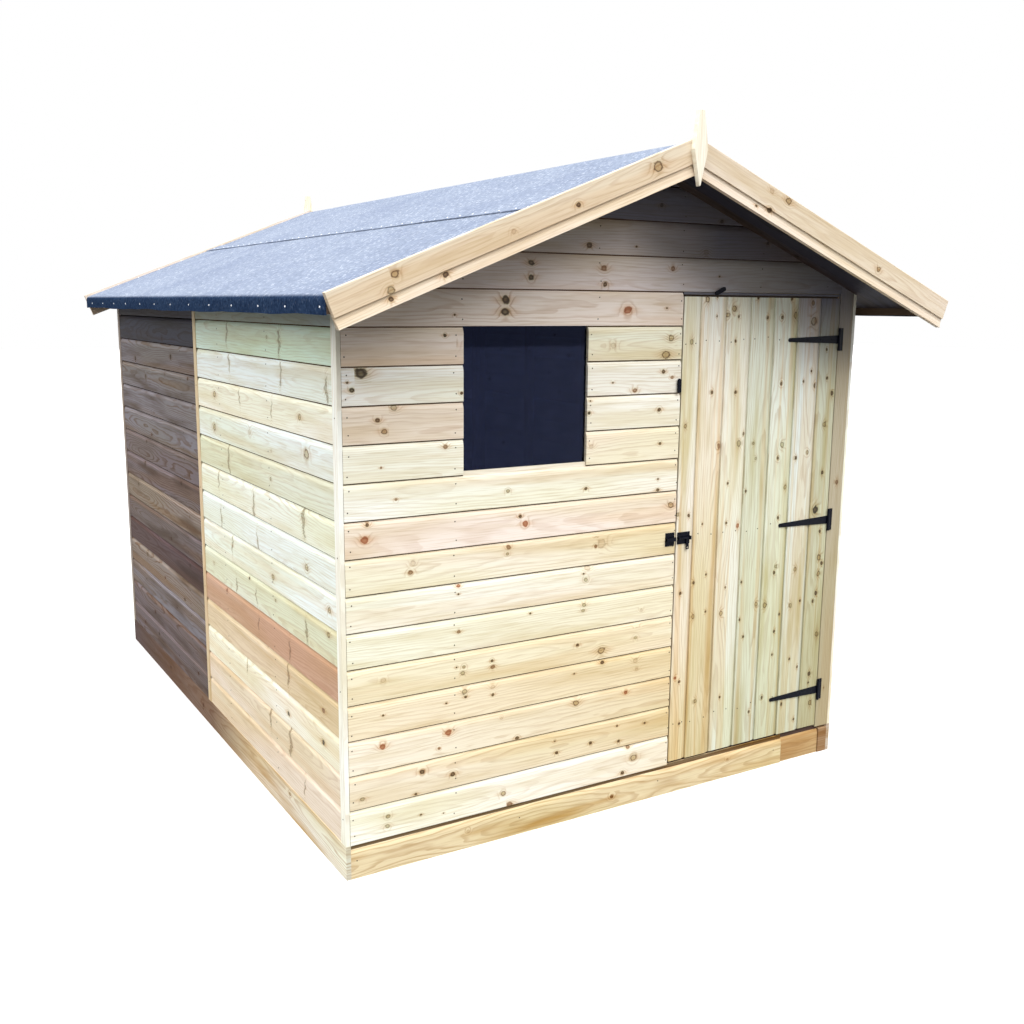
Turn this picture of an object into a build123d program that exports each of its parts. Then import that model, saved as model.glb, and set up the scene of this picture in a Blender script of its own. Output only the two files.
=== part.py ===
"""Wooden garden shed with an apex roof, a side window and a ledged door.

Millimetres. X runs along the front from left to right, Y runs back from the door
wall, Z is up. The origin is the middle of the shed's outline on the ground.
"""
from build123d import *
import math
import os

# Base and floor
PLINTH_HEIGHT = 114
FLOOR_THICKNESS = 12
BEARER_WIDTH = 45
BEARER_COUNT = 7
SIDE_PLINTH_THICKNESS = 16
PLINTH_SHORT_LENGTH = 207
PLINTH_SET_BACK = 10

# Cladding, one shiplap board after another
BOARD_COVER = 115
BOARD_THICKNESS = 12
SCOOP_HEIGHT = 20
SCOOP_DEPTH = 6
LAST_BOARD_SPARE = 30
TOUCH = 0.01
TRIM_SPARE = 1

# Walls
FRONT_PANEL_LENGTH = 1508
REAR_PANEL_LENGTH = 1442
POST_WIDTH = 69
STRIP_WIDTH = 40
STRIP_PROUD = 2
FRAME_WIDTH = 45
FRAME_DEPTH = 38
SIDE_STUD_COUNT = 6
REAR_STUD_COUNT = 4

# Window
WINDOW_LEFT = 404
WINDOW_WIDTH = 466
WINDOW_HEIGHT = 460
WINDOW_BELOW_HEAD = 115
WINDOW_TONGUE = 12
GLASS_THICKNESS = 4
GLASS_LAP = 12
BEAD_WIDTH = 12
BEAD_DEPTH = 15

# Door
DOOR_LEFT = 1268
DOOR_WIDTH = 754
DOOR_HEIGHT = 1701
DOOR_LIFT = 9
DOOR_GAP = 5
DOOR_BELOW_HEAD = 15
DOOR_BOARD_COVER = 116.5
DOOR_FIRST_BOARD = 78
LEDGE_HEIGHT = 95
LEDGE_THICKNESS = 20
LEDGE_INSET = 32
LEDGE_FROM_END = 105
STOP_WIDTH = 18

# Roof
ROOF_RISE = 478
EAVE_BELOW_HEAD = 21
EAVE_OVERHANG = 148
FRONT_OVERHANG = 283
REAR_OVERHANG = 25
DECK_THICKNESS = 12
FELT_THICKNESS = 3
BOARD_RIM = 10
BARGEBOARD_HEIGHT = 103
BARGEBOARD_THICKNESS = 18
BARGE_SCOOP_HEIGHT = 33
EAVE_END_GAP = 11
FASCIA_THICKNESS = 18
FASCIA_DROP = 45
FELT_LAP_FROM_EAVE = 664
FELT_OVERLAP = 75
PURLIN_WIDTH = 38
PURLIN_HEIGHT = 62
PURLIN_FROM_MIDDLE = 524
RIDGE_BEAM_HEIGHT = 75
SAW_GAP = 1

# Finial
FINIAL_WIDTH = 52
FINIAL_THICKNESS = 18
FINIAL_BELOW = 146
FINIAL_ABOVE = 78
FINIAL_POINT = 107
FINIAL_TOP_WIDTH = 22
FINIAL_NOSE = 5

# Door furniture
HINGE_LENGTH = 260
HINGE_ROOT = 31
HINGE_TIP = 14
HINGE_STEEL = 3
HINGE_PLATE_HEIGHT = 85
HINGE_PLATE_WIDTH = 17
KNUCKLE_RADIUS = 5
KNUCKLE_STAND_OFF = 1.5
PIN_RADIUS = 2
RUNNING_GAP = 0.3
BOLT_RADIUS = 4
BOLT_EDGE = 4
BOLT_TIP_INSET = 1
BOLT_PLATE_WIDTH = 56
BOLT_PLATE_HEIGHT = 43
BOLT_STEEL = 2.5
GUIDE_WIDTH = 6
FLAP_WIDTH = 12
FLAP_DROP = 42
FLAP_GAP = 1
FLAP_HOLE_RADIUS = 3.5
KEEP_WIDTH = 40
KEEP_HEIGHT = 48
KEEP_FROM_EDGE = 5
KEEP_CLEARANCE = 1
BUTTON_LENGTH = 50
BUTTON_WIDTH = 15
BUTTON_THICKNESS = 4
BUTTON_STAND_OFF = 5
BUTTON_BOSS_RADIUS = 5
SCREW_RADIUS = 4
SCREW_HEAD = 1.5
TOP_BUTTON_IN_DOOR = 153
TOP_BUTTON_RISE = 5
TOP_BUTTON_TILT = 66
SIDE_BUTTON_FROM_EDGE = 11
SIDE_BUTTON_BELOW_TOP = 305

# Worked out from the values above
FRONT_WIDTH = DOOR_LEFT + DOOR_WIDTH + DOOR_GAP + POST_WIDTH
WALL_LENGTH = FRONT_PANEL_LENGTH + REAR_PANEL_LENGTH
HALF_FRONT = FRONT_WIDTH / 2
CLADDING_X = HALF_FRONT + BOARD_THICKNESS
SIDE_X = CLADDING_X + STRIP_PROUD
BOARD_X = -HALF_FRONT
DOOR_X = BOARD_X + DOOR_LEFT
DOOR_END_X = DOOR_X + DOOR_WIDTH
DOOR_Z = PLINTH_HEIGHT + DOOR_LIFT
DOOR_TOP_Z = DOOR_Z + DOOR_HEIGHT
HEAD_Z = DOOR_TOP_Z + DOOR_BELOW_HEAD
WINDOW_TOP_Z = HEAD_Z - WINDOW_BELOW_HEAD
WINDOW_SILL_Z = WINDOW_TOP_Z - WINDOW_HEIGHT
HALF_ROOF = SIDE_X + EAVE_OVERHANG
EAVE_BOARD_TOP = HEAD_Z - EAVE_BELOW_HEAD
RIDGE_BOARD_TOP = EAVE_BOARD_TOP + ROOF_RISE
SLOPE = math.atan2(ROOF_RISE, HALF_ROOF)
FRONT_REACH = FRONT_OVERHANG + BARGEBOARD_THICKNESS + FINIAL_THICKNESS
REAR_REACH = REAR_OVERHANG + BARGEBOARD_THICKNESS + FINIAL_THICKNESS
FRONT_Y = FRONT_REACH - (FRONT_REACH + WALL_LENGTH + REAR_REACH) / 2
REAR_Y = FRONT_Y + WALL_LENGTH
DECK_DROP = (BOARD_RIM + FELT_THICKNESS) / math.cos(SLOPE)
DECK_RIDGE_Z = RIDGE_BOARD_TOP - DECK_DROP
DECK_FRONT_Y = FRONT_Y - FRONT_OVERHANG
DECK_REAR_Y = REAR_Y + REAR_OVERHANG
EAVE_X = HALF_ROOF - EAVE_END_GAP
HINGE_X = DOOR_END_X + DOOR_GAP / 2
HINGE_Y = FRONT_Y - KNUCKLE_RADIUS - KNUCKLE_STAND_OFF


def block(x0, x1, y0, y1, z0, z1):
    """A squared piece of timber between two corners."""
    return Pos((x0 + x1) / 2, (y0 + y1) / 2, (z0 + z1) / 2) * Box(x1 - x0, y1 - y0, z1 - z0)


def outline_xz(points, y0, y1):
    """A flat outline across the shed, extruded from y0 back to y1."""
    plane = Plane(origin=(0, y1, 0), x_dir=(1, 0, 0), z_dir=(0, -1, 0))
    return extrude(plane * make_face(Polyline(*points, close=True)), amount=y1 - y0)


def deck_top(x):
    """Height of the roof deck's top at a distance from the middle."""
    return DECK_RIDGE_Z - abs(x) * math.tan(SLOPE)


def deck_underside(x):
    """Height of the roof deck's underside at a distance from the middle."""
    return deck_top(x) - DECK_THICKNESS / math.cos(SLOPE)


def slope_point(down, out):
    """A point on the right roof slope: down along the deck, out above its top."""
    x = down * math.cos(SLOPE) + out * math.sin(SLOPE)
    return (x, DECK_RIDGE_Z - down * math.sin(SLOPE) + out * math.cos(SLOPE))


def scoop(depth, height, top):
    """The hollow along a shiplap board's top edge, from its face in to depth."""
    radius = (depth**2 + height**2) / (2 * depth)
    half_turn = math.asin(height / radius) / 2
    middle = (depth - radius + radius * math.cos(half_turn), top - radius * math.sin(half_turn))
    return ThreePointArc((0, top - height), middle, (depth, top))


def shiplap_section(height, cover, first_cover=None):
    """Cross-section of a clad wall: x runs in from the face, y runs up."""
    edges = []
    foot = 0
    board = first_cover or cover
    while height - foot > board + LAST_BOARD_SPARE:
        edges.append(Line((0, foot), (0, foot + board - SCOOP_HEIGHT)))
        edges.append(scoop(SCOOP_DEPTH, SCOOP_HEIGHT, foot + board))
        foot += board
        edges.append(Line((SCOOP_DEPTH, foot), (0, foot)))
        board = cover
    top_x = 0
    if abs(height - foot - cover) < TOUCH:
        edges.append(Line((0, foot), (0, height - SCOOP_HEIGHT)))
        edges.append(scoop(SCOOP_DEPTH, SCOOP_HEIGHT, height))
        top_x = SCOOP_DEPTH
    else:
        edges.append(Line((0, foot), (0, height)))
    edges.append(Line((top_x, height), (BOARD_THICKNESS, height)))
    edges.append(Line((BOARD_THICKNESS, height), (BOARD_THICKNESS, 0)))
    edges.append(Line((BOARD_THICKNESS, 0), (0, 0)))
    return make_face(edges)


def shiplap_panel(corner, inward, length, height, cover=BOARD_COVER, up=(0, 0, 1), first_cover=None):
    """Boards laid one above another; the panel runs from corner along inward x up."""
    along = Vector(*inward).cross(Vector(*up))
    plane = Plane(origin=corner, x_dir=inward, z_dir=along)
    return extrude(plane * shiplap_section(height, cover, first_cover), amount=length)


def save(name, shape):
    """Write one named piece, with its solids, to the parts folder."""
    shape.label = name
    export_step(shape, f"parts/{name}.step")


def group(*pieces):
    """Like pieces that share a name and don't touch."""
    return Compound(children=list(pieces))


def mirrored(shape):
    """The same piece on the other side of the shed."""
    return mirror(shape, about=Plane.YZ)


def spread(count, first, last):
    """Evenly spaced places from first to last."""
    return [first + (last - first) * step / (count - 1) for step in range(count)]


def make_base():
    """Bearers, floor boards and the plinth boards that close the base."""
    inside_front = FRONT_Y + PLINTH_SET_BACK + BOARD_THICKNESS
    inside_rear = REAR_Y - BOARD_THICKNESS
    inside_x = SIDE_X - SIDE_PLINTH_THICKNESS
    under_floor = PLINTH_HEIGHT - FLOOR_THICKNESS
    half_bearer = BEARER_WIDTH / 2
    bearers = [
        block(x - half_bearer, x + half_bearer, inside_front, inside_rear, 0, under_floor)
        for x in spread(BEARER_COUNT, half_bearer - inside_x, inside_x - half_bearer)
    ]
    save("floor_bearers", group(*bearers))
    floor = block(-inside_x, inside_x, inside_front, inside_rear, under_floor, PLINTH_HEIGHT)
    save("floor_boards", floor)
    side = block(-SIDE_X, -inside_x, FRONT_Y, REAR_Y, 0, PLINTH_HEIGHT)
    save("side_plinths", group(side, mirrored(side)))
    block_x = inside_x - BEARER_WIDTH
    short_x = block_x - PLINTH_SHORT_LENGTH
    board_y = FRONT_Y + BOARD_THICKNESS
    long_corner = (-inside_x, FRONT_Y, 0)
    long_length = short_x + inside_x
    save("front_plinth", shiplap_panel(long_corner, (0, 1, 0), long_length, PLINTH_HEIGHT, PLINTH_HEIGHT))
    backing = block(-inside_x, block_x, board_y, inside_front, 0, PLINTH_HEIGHT)
    short_corner = (short_x, FRONT_Y + PLINTH_SET_BACK / 2, 0)
    short_board = shiplap_panel(short_corner, (0, 1, 0), PLINTH_SHORT_LENGTH, under_floor, under_floor)
    corner_block = block(block_x, inside_x, FRONT_Y, inside_front, 0, under_floor)
    save("front_sill_bearer", backing + short_board + corner_block)
    rear_corner = (inside_x, REAR_Y, 0)
    rear_board = shiplap_panel(rear_corner, (0, -1, 0), 2 * inside_x, PLINTH_HEIGHT, PLINTH_HEIGHT)
    save("rear_plinth", rear_board)


def roof_trim(y0, y1):
    """Everything below the roof deck, as a cutter for gables and frames."""
    eave_z = deck_underside(HALF_ROOF)
    left = [(-HALF_ROOF, 0), (-HALF_ROOF, eave_z)]
    right = [(HALF_ROOF, eave_z), (HALF_ROOF, 0)]
    return outline_xz([*left, (0, deck_underside(0)), *right], y0, y1)


def make_front_wall():
    """The front cladding in pieces, beside and over the window and the door."""
    y = FRONT_Y
    z0 = PLINTH_HEIGHT
    inward = (0, 1, 0)
    door_edge = DOOR_X - DOOR_GAP
    window_x = BOARD_X + WINDOW_LEFT
    window_end = window_x + WINDOW_WIDTH
    sill_z = WINDOW_SILL_Z
    width = door_edge - BOARD_X
    below = shiplap_panel((BOARD_X, y, z0), inward, width, sill_z - z0)
    tongue_y = y + SCOOP_DEPTH
    tongue = block(window_x, window_end, tongue_y, y + BOARD_THICKNESS, sill_z, sill_z + WINDOW_TONGUE)
    save("front_boards_below_window", below + tongue)
    left = shiplap_panel((BOARD_X, y, sill_z), inward, WINDOW_LEFT, WINDOW_HEIGHT)
    right = shiplap_panel((window_end, y, sill_z), inward, door_edge - window_end, WINDOW_HEIGHT)
    save("front_boards_beside_window", group(left, right))
    over = shiplap_panel((BOARD_X, y, WINDOW_TOP_Z), inward, width, WINDOW_BELOW_HEAD)
    save("front_board_over_window", over)
    post_x = DOOR_END_X + DOOR_GAP
    post = block(post_x, HALF_FRONT, y, y + BOARD_THICKNESS, z0, RIDGE_BOARD_TOP)
    trim = roof_trim(y - TRIM_SPARE, y + BOARD_THICKNESS + TRIM_SPARE)
    save("hinge_post", post & trim)
    gable = shiplap_panel((BOARD_X, y, HEAD_Z), inward, post_x - BOARD_X, RIDGE_BOARD_TOP - HEAD_Z)
    save("front_gable", gable & trim)


def make_side_walls():
    """Each side is two clad panels that meet under a cover strip."""
    z0 = PLINTH_HEIGHT
    top = deck_underside(CLADDING_X) - z0
    half_strip = STRIP_WIDTH / 2
    start = FRONT_Y + STRIP_WIDTH
    joint = FRONT_Y + FRONT_PANEL_LENGTH
    end = REAR_Y - STRIP_WIDTH
    for name, y0, y1 in (("front", start, joint), ("rear", joint, end)):
        left = shiplap_panel((-CLADDING_X, y1, z0), (1, 0, 0), y1 - y0, top)
        save(f"left_wall_{name}_panel", left)
        save(f"right_wall_{name}_panel", mirrored(left))
    strip_top = deck_underside(SIDE_X)
    strips = [
        block(-SIDE_X, -HALF_FRONT, FRONT_Y, start, z0, strip_top),
        block(-SIDE_X, -CLADDING_X, joint - half_strip, joint + half_strip, z0, strip_top),
        block(-SIDE_X, -HALF_FRONT, end, REAR_Y, z0, strip_top),
    ]
    save("cover_strips", group(*strips, *[mirrored(strip) for strip in strips]))


def make_rear_wall():
    """The rear wall is one clad panel up to the roof."""
    corner = (HALF_FRONT, REAR_Y, PLINTH_HEIGHT)
    panel = shiplap_panel(corner, (0, -1, 0), FRONT_WIDTH, RIDGE_BOARD_TOP - PLINTH_HEIGHT)
    trim = roof_trim(REAR_Y - BOARD_THICKNESS - TRIM_SPARE, REAR_Y + TRIM_SPARE)
    save("rear_wall", panel & trim)


def make_side_frames():
    """Framing timber inside the side walls: studs in one node, rails in another."""
    z0 = PLINTH_HEIGHT
    rail_top = deck_underside(HALF_FRONT)
    y0 = FRONT_Y + BOARD_THICKNESS + FRAME_DEPTH
    y1 = REAR_Y - BOARD_THICKNESS - FRAME_DEPTH
    inner = HALF_FRONT - FRAME_DEPTH
    studs = [
        block(-HALF_FRONT, -inner, y, y + FRAME_WIDTH, z0 + FRAME_WIDTH, rail_top - FRAME_WIDTH)
        for y in spread(SIDE_STUD_COUNT, y0, y1 - FRAME_WIDTH)
    ]
    save("side_wall_studs", group(*studs, *[mirrored(stud) for stud in studs]))
    rail_places = (z0, rail_top - FRAME_WIDTH)
    rails = [block(-HALF_FRONT, -inner, y0, y1, z, z + FRAME_WIDTH) for z in rail_places]
    save("side_wall_rails", group(*rails, *[mirrored(rail) for rail in rails]))


def make_rear_frame():
    """Studs and rails inside the rear wall."""
    z0 = PLINTH_HEIGHT
    y1 = REAR_Y - BOARD_THICKNESS
    y0 = y1 - FRAME_DEPTH
    places = spread(REAR_STUD_COUNT, -HALF_FRONT, HALF_FRONT - FRAME_WIDTH)
    studs = [block(x, x + FRAME_WIDTH, y0, y1, z0 + FRAME_WIDTH, HEAD_Z) for x in places]
    save("rear_wall_studs", group(*[stud & roof_trim(y0, y1) for stud in studs]))
    rails = [block(-HALF_FRONT, HALF_FRONT, y0, y1, z, z + FRAME_WIDTH) for z in (z0, HEAD_Z)]
    save("rear_wall_rails", group(*[rail & roof_trim(y0, y1) for rail in rails]))


def make_front_frame():
    """Studs and rails of the front wall, round the window and the doorway."""
    z0 = PLINTH_HEIGHT
    y0 = FRONT_Y + BOARD_THICKNESS
    y1 = y0 + FRAME_DEPTH
    door_edge = DOOR_X - DOOR_GAP
    post_x = DOOR_END_X + DOOR_GAP
    glass_x = BOARD_X + WINDOW_LEFT - GLASS_LAP
    glass_end = glass_x + WINDOW_WIDTH + 2 * GLASS_LAP
    glass_z = WINDOW_SILL_Z + WINDOW_TONGUE - GLASS_LAP
    glass_top = WINDOW_TOP_Z + GLASS_LAP
    stud_places = (-HALF_FRONT, glass_x - FRAME_WIDTH, glass_end, door_edge - FRAME_WIDTH)
    studs = [block(x, x + FRAME_WIDTH, y0, y1, z0 + FRAME_WIDTH, HEAD_Z) for x in stud_places]
    studs.append(block(post_x, HALF_FRONT, y0, y1, z0, HEAD_Z))
    save("front_wall_studs", group(*[stud & roof_trim(y0, y1) for stud in studs]))
    rails = [
        block(-HALF_FRONT, door_edge, y0, y1, z0, z0 + FRAME_WIDTH),
        block(-HALF_FRONT, HALF_FRONT, y0, y1, HEAD_Z, HEAD_Z + FRAME_WIDTH) & roof_trim(y0, y1),
        block(glass_x, glass_end, y0, y1, glass_z - FRAME_WIDTH, glass_z),
        block(glass_x, glass_end, y0, y1, glass_top, glass_top + FRAME_WIDTH),
    ]
    save("front_wall_rails", group(*rails))
    stop_y = y0 + DOOR_GAP
    stop_z = DOOR_TOP_Z - STOP_WIDTH + DOOR_LIFT
    left = door_edge + STOP_WIDTH
    right = post_x - STOP_WIDTH
    stops = [
        block(door_edge, left, stop_y, y1, z0, HEAD_Z),
        block(right, post_x, stop_y, y1, z0, HEAD_Z),
        block(left + SAW_GAP, right - SAW_GAP, stop_y, y1, stop_z, HEAD_Z),
    ]
    save("door_stops", group(*stops))
    make_window(glass_x, glass_end, glass_z, glass_top, y0)


def make_window(x0, x1, z0, z1, y0):
    """One fixed sheet of glass behind the boards, held by four beads."""
    save("window_glass", block(x0, x1, y0, y0 + GLASS_THICKNESS, z0, z1))
    bead_y = y0 + GLASS_THICKNESS
    bead_end = bead_y + BEAD_DEPTH
    low = z0 + BEAD_WIDTH + SAW_GAP
    high = z1 - BEAD_WIDTH - SAW_GAP
    beads = [
        block(x0, x1, bead_y, bead_end, z0, z0 + BEAD_WIDTH),
        block(x0, x1, bead_y, bead_end, z1 - BEAD_WIDTH, z1),
        block(x0, x0 + BEAD_WIDTH, bead_y, bead_end, low, high),
        block(x1 - BEAD_WIDTH, x1, bead_y, bead_end, low, high),
    ]
    save("window_beads", group(*beads))


def make_roof_frame():
    """Gable rafters, ridge beam and purlins that carry the roof boards."""
    y0 = FRONT_Y + BOARD_THICKNESS
    y1 = REAR_Y - BOARD_THICKNESS
    foot_z = HEAD_Z + FRAME_WIDTH
    drop = FRAME_WIDTH / math.cos(SLOPE)
    far = (deck_underside(0) - foot_z) / math.tan(SLOPE)
    near = (deck_underside(0) - drop - foot_z) / math.tan(SLOPE)
    half_gap = SAW_GAP / 2
    rafter = [
        (half_gap, deck_underside(half_gap)),
        (far, foot_z),
        (near, foot_z),
        (half_gap, deck_underside(half_gap) - drop),
    ]
    front = outline_xz(rafter, y0, y0 + FRAME_DEPTH)
    rear = outline_xz(rafter, y1 - FRAME_DEPTH, y1)
    save("gable_rafters", group(front, rear, mirrored(front), mirrored(rear)))
    half = PURLIN_WIDTH / 2
    under = deck_underside(0)
    side = deck_underside(half)
    foot = side - RIDGE_BEAM_HEIGHT
    ridge = [(-half, side), (0, under), (half, side), (half, foot), (-half, foot)]
    inside = (y0 + FRAME_DEPTH, y1 - FRAME_DEPTH)
    place = PURLIN_FROM_MIDDLE / math.cos(SLOPE)
    top = -DECK_THICKNESS
    purlin = outline_xz(
        [
            slope_point(place - half, top),
            slope_point(place + half, top),
            slope_point(place + half, top - PURLIN_HEIGHT),
            slope_point(place - half, top - PURLIN_HEIGHT),
        ],
        *inside,
    )
    save("roof_purlins", group(outline_xz(ridge, *inside), purlin, mirrored(purlin)))


def make_roof_cover():
    """Roof boards, eaves fascias and three sheets of mineral felt."""
    y0 = DECK_FRONT_Y
    y1 = DECK_REAR_Y
    eave_z = deck_top(EAVE_X)
    eave_under = deck_underside(EAVE_X)
    deck = [(0, DECK_RIDGE_Z), (EAVE_X, eave_z), (EAVE_X, eave_under), (0, deck_underside(0))]
    right = outline_xz(deck, y0, y1)
    save("right_roof_deck", right)
    save("left_roof_deck", mirrored(right))
    foot_z = eave_z - FASCIA_DROP
    inner = EAVE_X - FASCIA_THICKNESS
    board = [(EAVE_X, eave_under), (EAVE_X, foot_z), (inner, foot_z), (inner, deck_underside(inner))]
    fascia = outline_xz(board, y0, y1)
    save("eaves_fascias", group(fascia, mirrored(fascia)))
    lap = EAVE_X / math.cos(SLOPE) - FELT_LAP_FROM_EAVE
    start = lap - FELT_OVERLAP
    face = EAVE_X + FELT_THICKNESS
    skin = FELT_THICKNESS / math.cos(SLOPE)
    lower = [
        slope_point(start, 0),
        slope_point(start, FELT_THICKNESS),
        (face, deck_top(face) + skin),
        (face, foot_z),
        (EAVE_X, foot_z),
        (EAVE_X, eave_z),
    ]
    sheet = outline_xz(lower, y0, y1)
    save("eaves_felt", group(sheet, mirrored(sheet)))
    over = [
        (0, DECK_RIDGE_Z + skin),
        slope_point(start - FELT_THICKNESS, FELT_THICKNESS),
        slope_point(start, 2 * FELT_THICKNESS),
        slope_point(lap, 2 * FELT_THICKNESS),
        slope_point(lap, FELT_THICKNESS),
        slope_point(start, FELT_THICKNESS),
        slope_point(start, 0),
        (0, DECK_RIDGE_Z),
    ]
    other = [(-x, z) for x, z in reversed(over[1:-1])]
    save("ridge_felt", outline_xz(over + other, y0, y1))


def make_bargeboards():
    """Moulded boards on the gable ends, and the pointed finials at their peaks."""
    flat = BARGEBOARD_HEIGHT - BARGE_SCOOP_HEIGHT
    t = BARGEBOARD_THICKNESS
    radius = (SCOOP_DEPTH**2 + BARGE_SCOOP_HEIGHT**2) / (2 * SCOOP_DEPTH)
    section = make_face(
        [
            Line((0, 0), (t, 0)),
            Line((t, 0), (t, flat)),
            Line((t, flat), (t - SCOOP_DEPTH, flat)),
            RadiusArc((t - SCOOP_DEPTH, flat), (t, BARGEBOARD_HEIGHT), radius),
            Line((t, BARGEBOARD_HEIGHT), (0, BARGEBOARD_HEIGHT)),
            Line((0, BARGEBOARD_HEIGHT), (0, 0)),
        ]
    )
    down = Vector(math.cos(SLOPE), 0, -math.sin(SLOPE))
    start = Vector(0, DECK_FRONT_Y, RIDGE_BOARD_TOP) - down * BARGEBOARD_HEIGHT
    length = HALF_ROOF / math.cos(SLOPE) + BARGEBOARD_HEIGHT
    board = extrude(Plane(origin=start, x_dir=(0, -1, 0), z_dir=down) * section, amount=length)
    tall = 2 * RIDGE_BOARD_TOP
    right_half = block(SAW_GAP / 2, 2 * HALF_ROOF, DECK_FRONT_Y - 2 * t, DECK_FRONT_Y + t, 0, tall)
    board = board & right_half
    save("front_bargeboards", group(board, mirrored(board)))
    rear = mirror(board, about=Plane.XZ)
    save("rear_bargeboards", group(rear, mirrored(rear)))
    tip_z = RIDGE_BOARD_TOP - FINIAL_BELOW
    half = FINIAL_WIDTH / 2
    top_half = FINIAL_TOP_WIDTH / 2
    nose = FINIAL_NOSE / 2
    kite = [
        (nose, tip_z),
        (half, tip_z + FINIAL_POINT),
        (top_half, RIDGE_BOARD_TOP + FINIAL_ABOVE),
        (-top_half, RIDGE_BOARD_TOP + FINIAL_ABOVE),
        (-half, tip_z + FINIAL_POINT),
        (-nose, tip_z),
    ]
    face_y = DECK_FRONT_Y - BARGEBOARD_THICKNESS
    finial = outline_xz(kite, face_y - FINIAL_THICKNESS, face_y)
    save("finials", group(finial, mirror(finial, about=Plane.XZ)))


def ledge_places():
    """Heights of the foot of each of the door's three ledges."""
    return spread(3, DOOR_Z + LEDGE_FROM_END, DOOR_TOP_Z - LEDGE_FROM_END - LEDGE_HEIGHT)


def make_door():
    """A door of upright shiplap boards on three ledges, the first board ripped narrow."""
    corner = (DOOR_X, FRONT_Y, DOOR_TOP_Z)
    covers = {"cover": DOOR_BOARD_COVER, "first_cover": DOOR_FIRST_BOARD}
    boards = shiplap_panel(corner, (0, 1, 0), DOOR_HEIGHT, DOOR_WIDTH, up=(1, 0, 0), **covers)
    save("door_boards", boards)
    y0 = FRONT_Y + BOARD_THICKNESS
    x0 = DOOR_X + LEDGE_INSET
    x1 = DOOR_END_X - LEDGE_INSET
    ledges = [block(x0, x1, y0, y0 + LEDGE_THICKNESS, z, z + LEDGE_HEIGHT) for z in ledge_places()]
    save("door_ledges", group(*ledges))


def make_hinge(z):
    """One T hinge at a height: the strap for the door and the plate for the post."""
    half = HINGE_ROOT / 2
    tip_radius = HINGE_TIP / 2
    tip_x = HINGE_X - HINGE_LENGTH + tip_radius
    root = [(HINGE_X, z - half), (HINGE_X, z + half)]
    taper = [*root, (tip_x, z + tip_radius), (tip_x, z - tip_radius)]
    strap = outline_xz(taper, FRONT_Y - HINGE_STEEL, FRONT_Y)
    strap += Pos(tip_x, FRONT_Y - HINGE_STEEL / 2, z) * Rot(90, 0, 0) * Cylinder(tip_radius, HINGE_STEEL)
    axis = Pos(HINGE_X, HINGE_Y, z)
    strap += axis * Cylinder(KNUCKLE_RADIUS, HINGE_ROOT)
    strap -= axis * Cylinder(PIN_RADIUS + RUNNING_GAP, HINGE_ROOT)
    plate_half = HINGE_PLATE_HEIGHT / 2
    clear = half + RUNNING_GAP
    leaf_x = HINGE_X + KNUCKLE_RADIUS + RUNNING_GAP
    steel_y = FRONT_Y - HINGE_STEEL
    leaf_end = leaf_x + HINGE_PLATE_WIDTH
    leaf = block(leaf_x, leaf_end, steel_y, FRONT_Y, z - plate_half, z + plate_half)
    for low, high in ((z - plate_half, z - clear), (z + clear, z + plate_half)):
        leaf += block(HINGE_X, leaf_x, steel_y, FRONT_Y, low, high)
        leaf += Pos(HINGE_X, HINGE_Y, (low + high) / 2) * Cylinder(KNUCKLE_RADIUS, high - low)
    leaf += axis * Cylinder(PIN_RADIUS, HINGE_PLATE_HEIGHT)
    return strap, leaf


def make_hinges():
    """Three T hinges level with the ledges; the plates on the post carry the pins."""
    pairs = [make_hinge(foot + LEDGE_HEIGHT / 2) for foot in ledge_places()]
    save("hinge_straps", group(*[strap for strap, leaf in pairs]))
    save("hinge_plates", group(*[leaf for strap, leaf in pairs]))


def rod(radius, x0, x1, y, z):
    """A round bar along X."""
    return Pos((x0 + x1) / 2, y, z) * Rot(0, 90, 0) * Cylinder(radius, x1 - x0)


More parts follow.
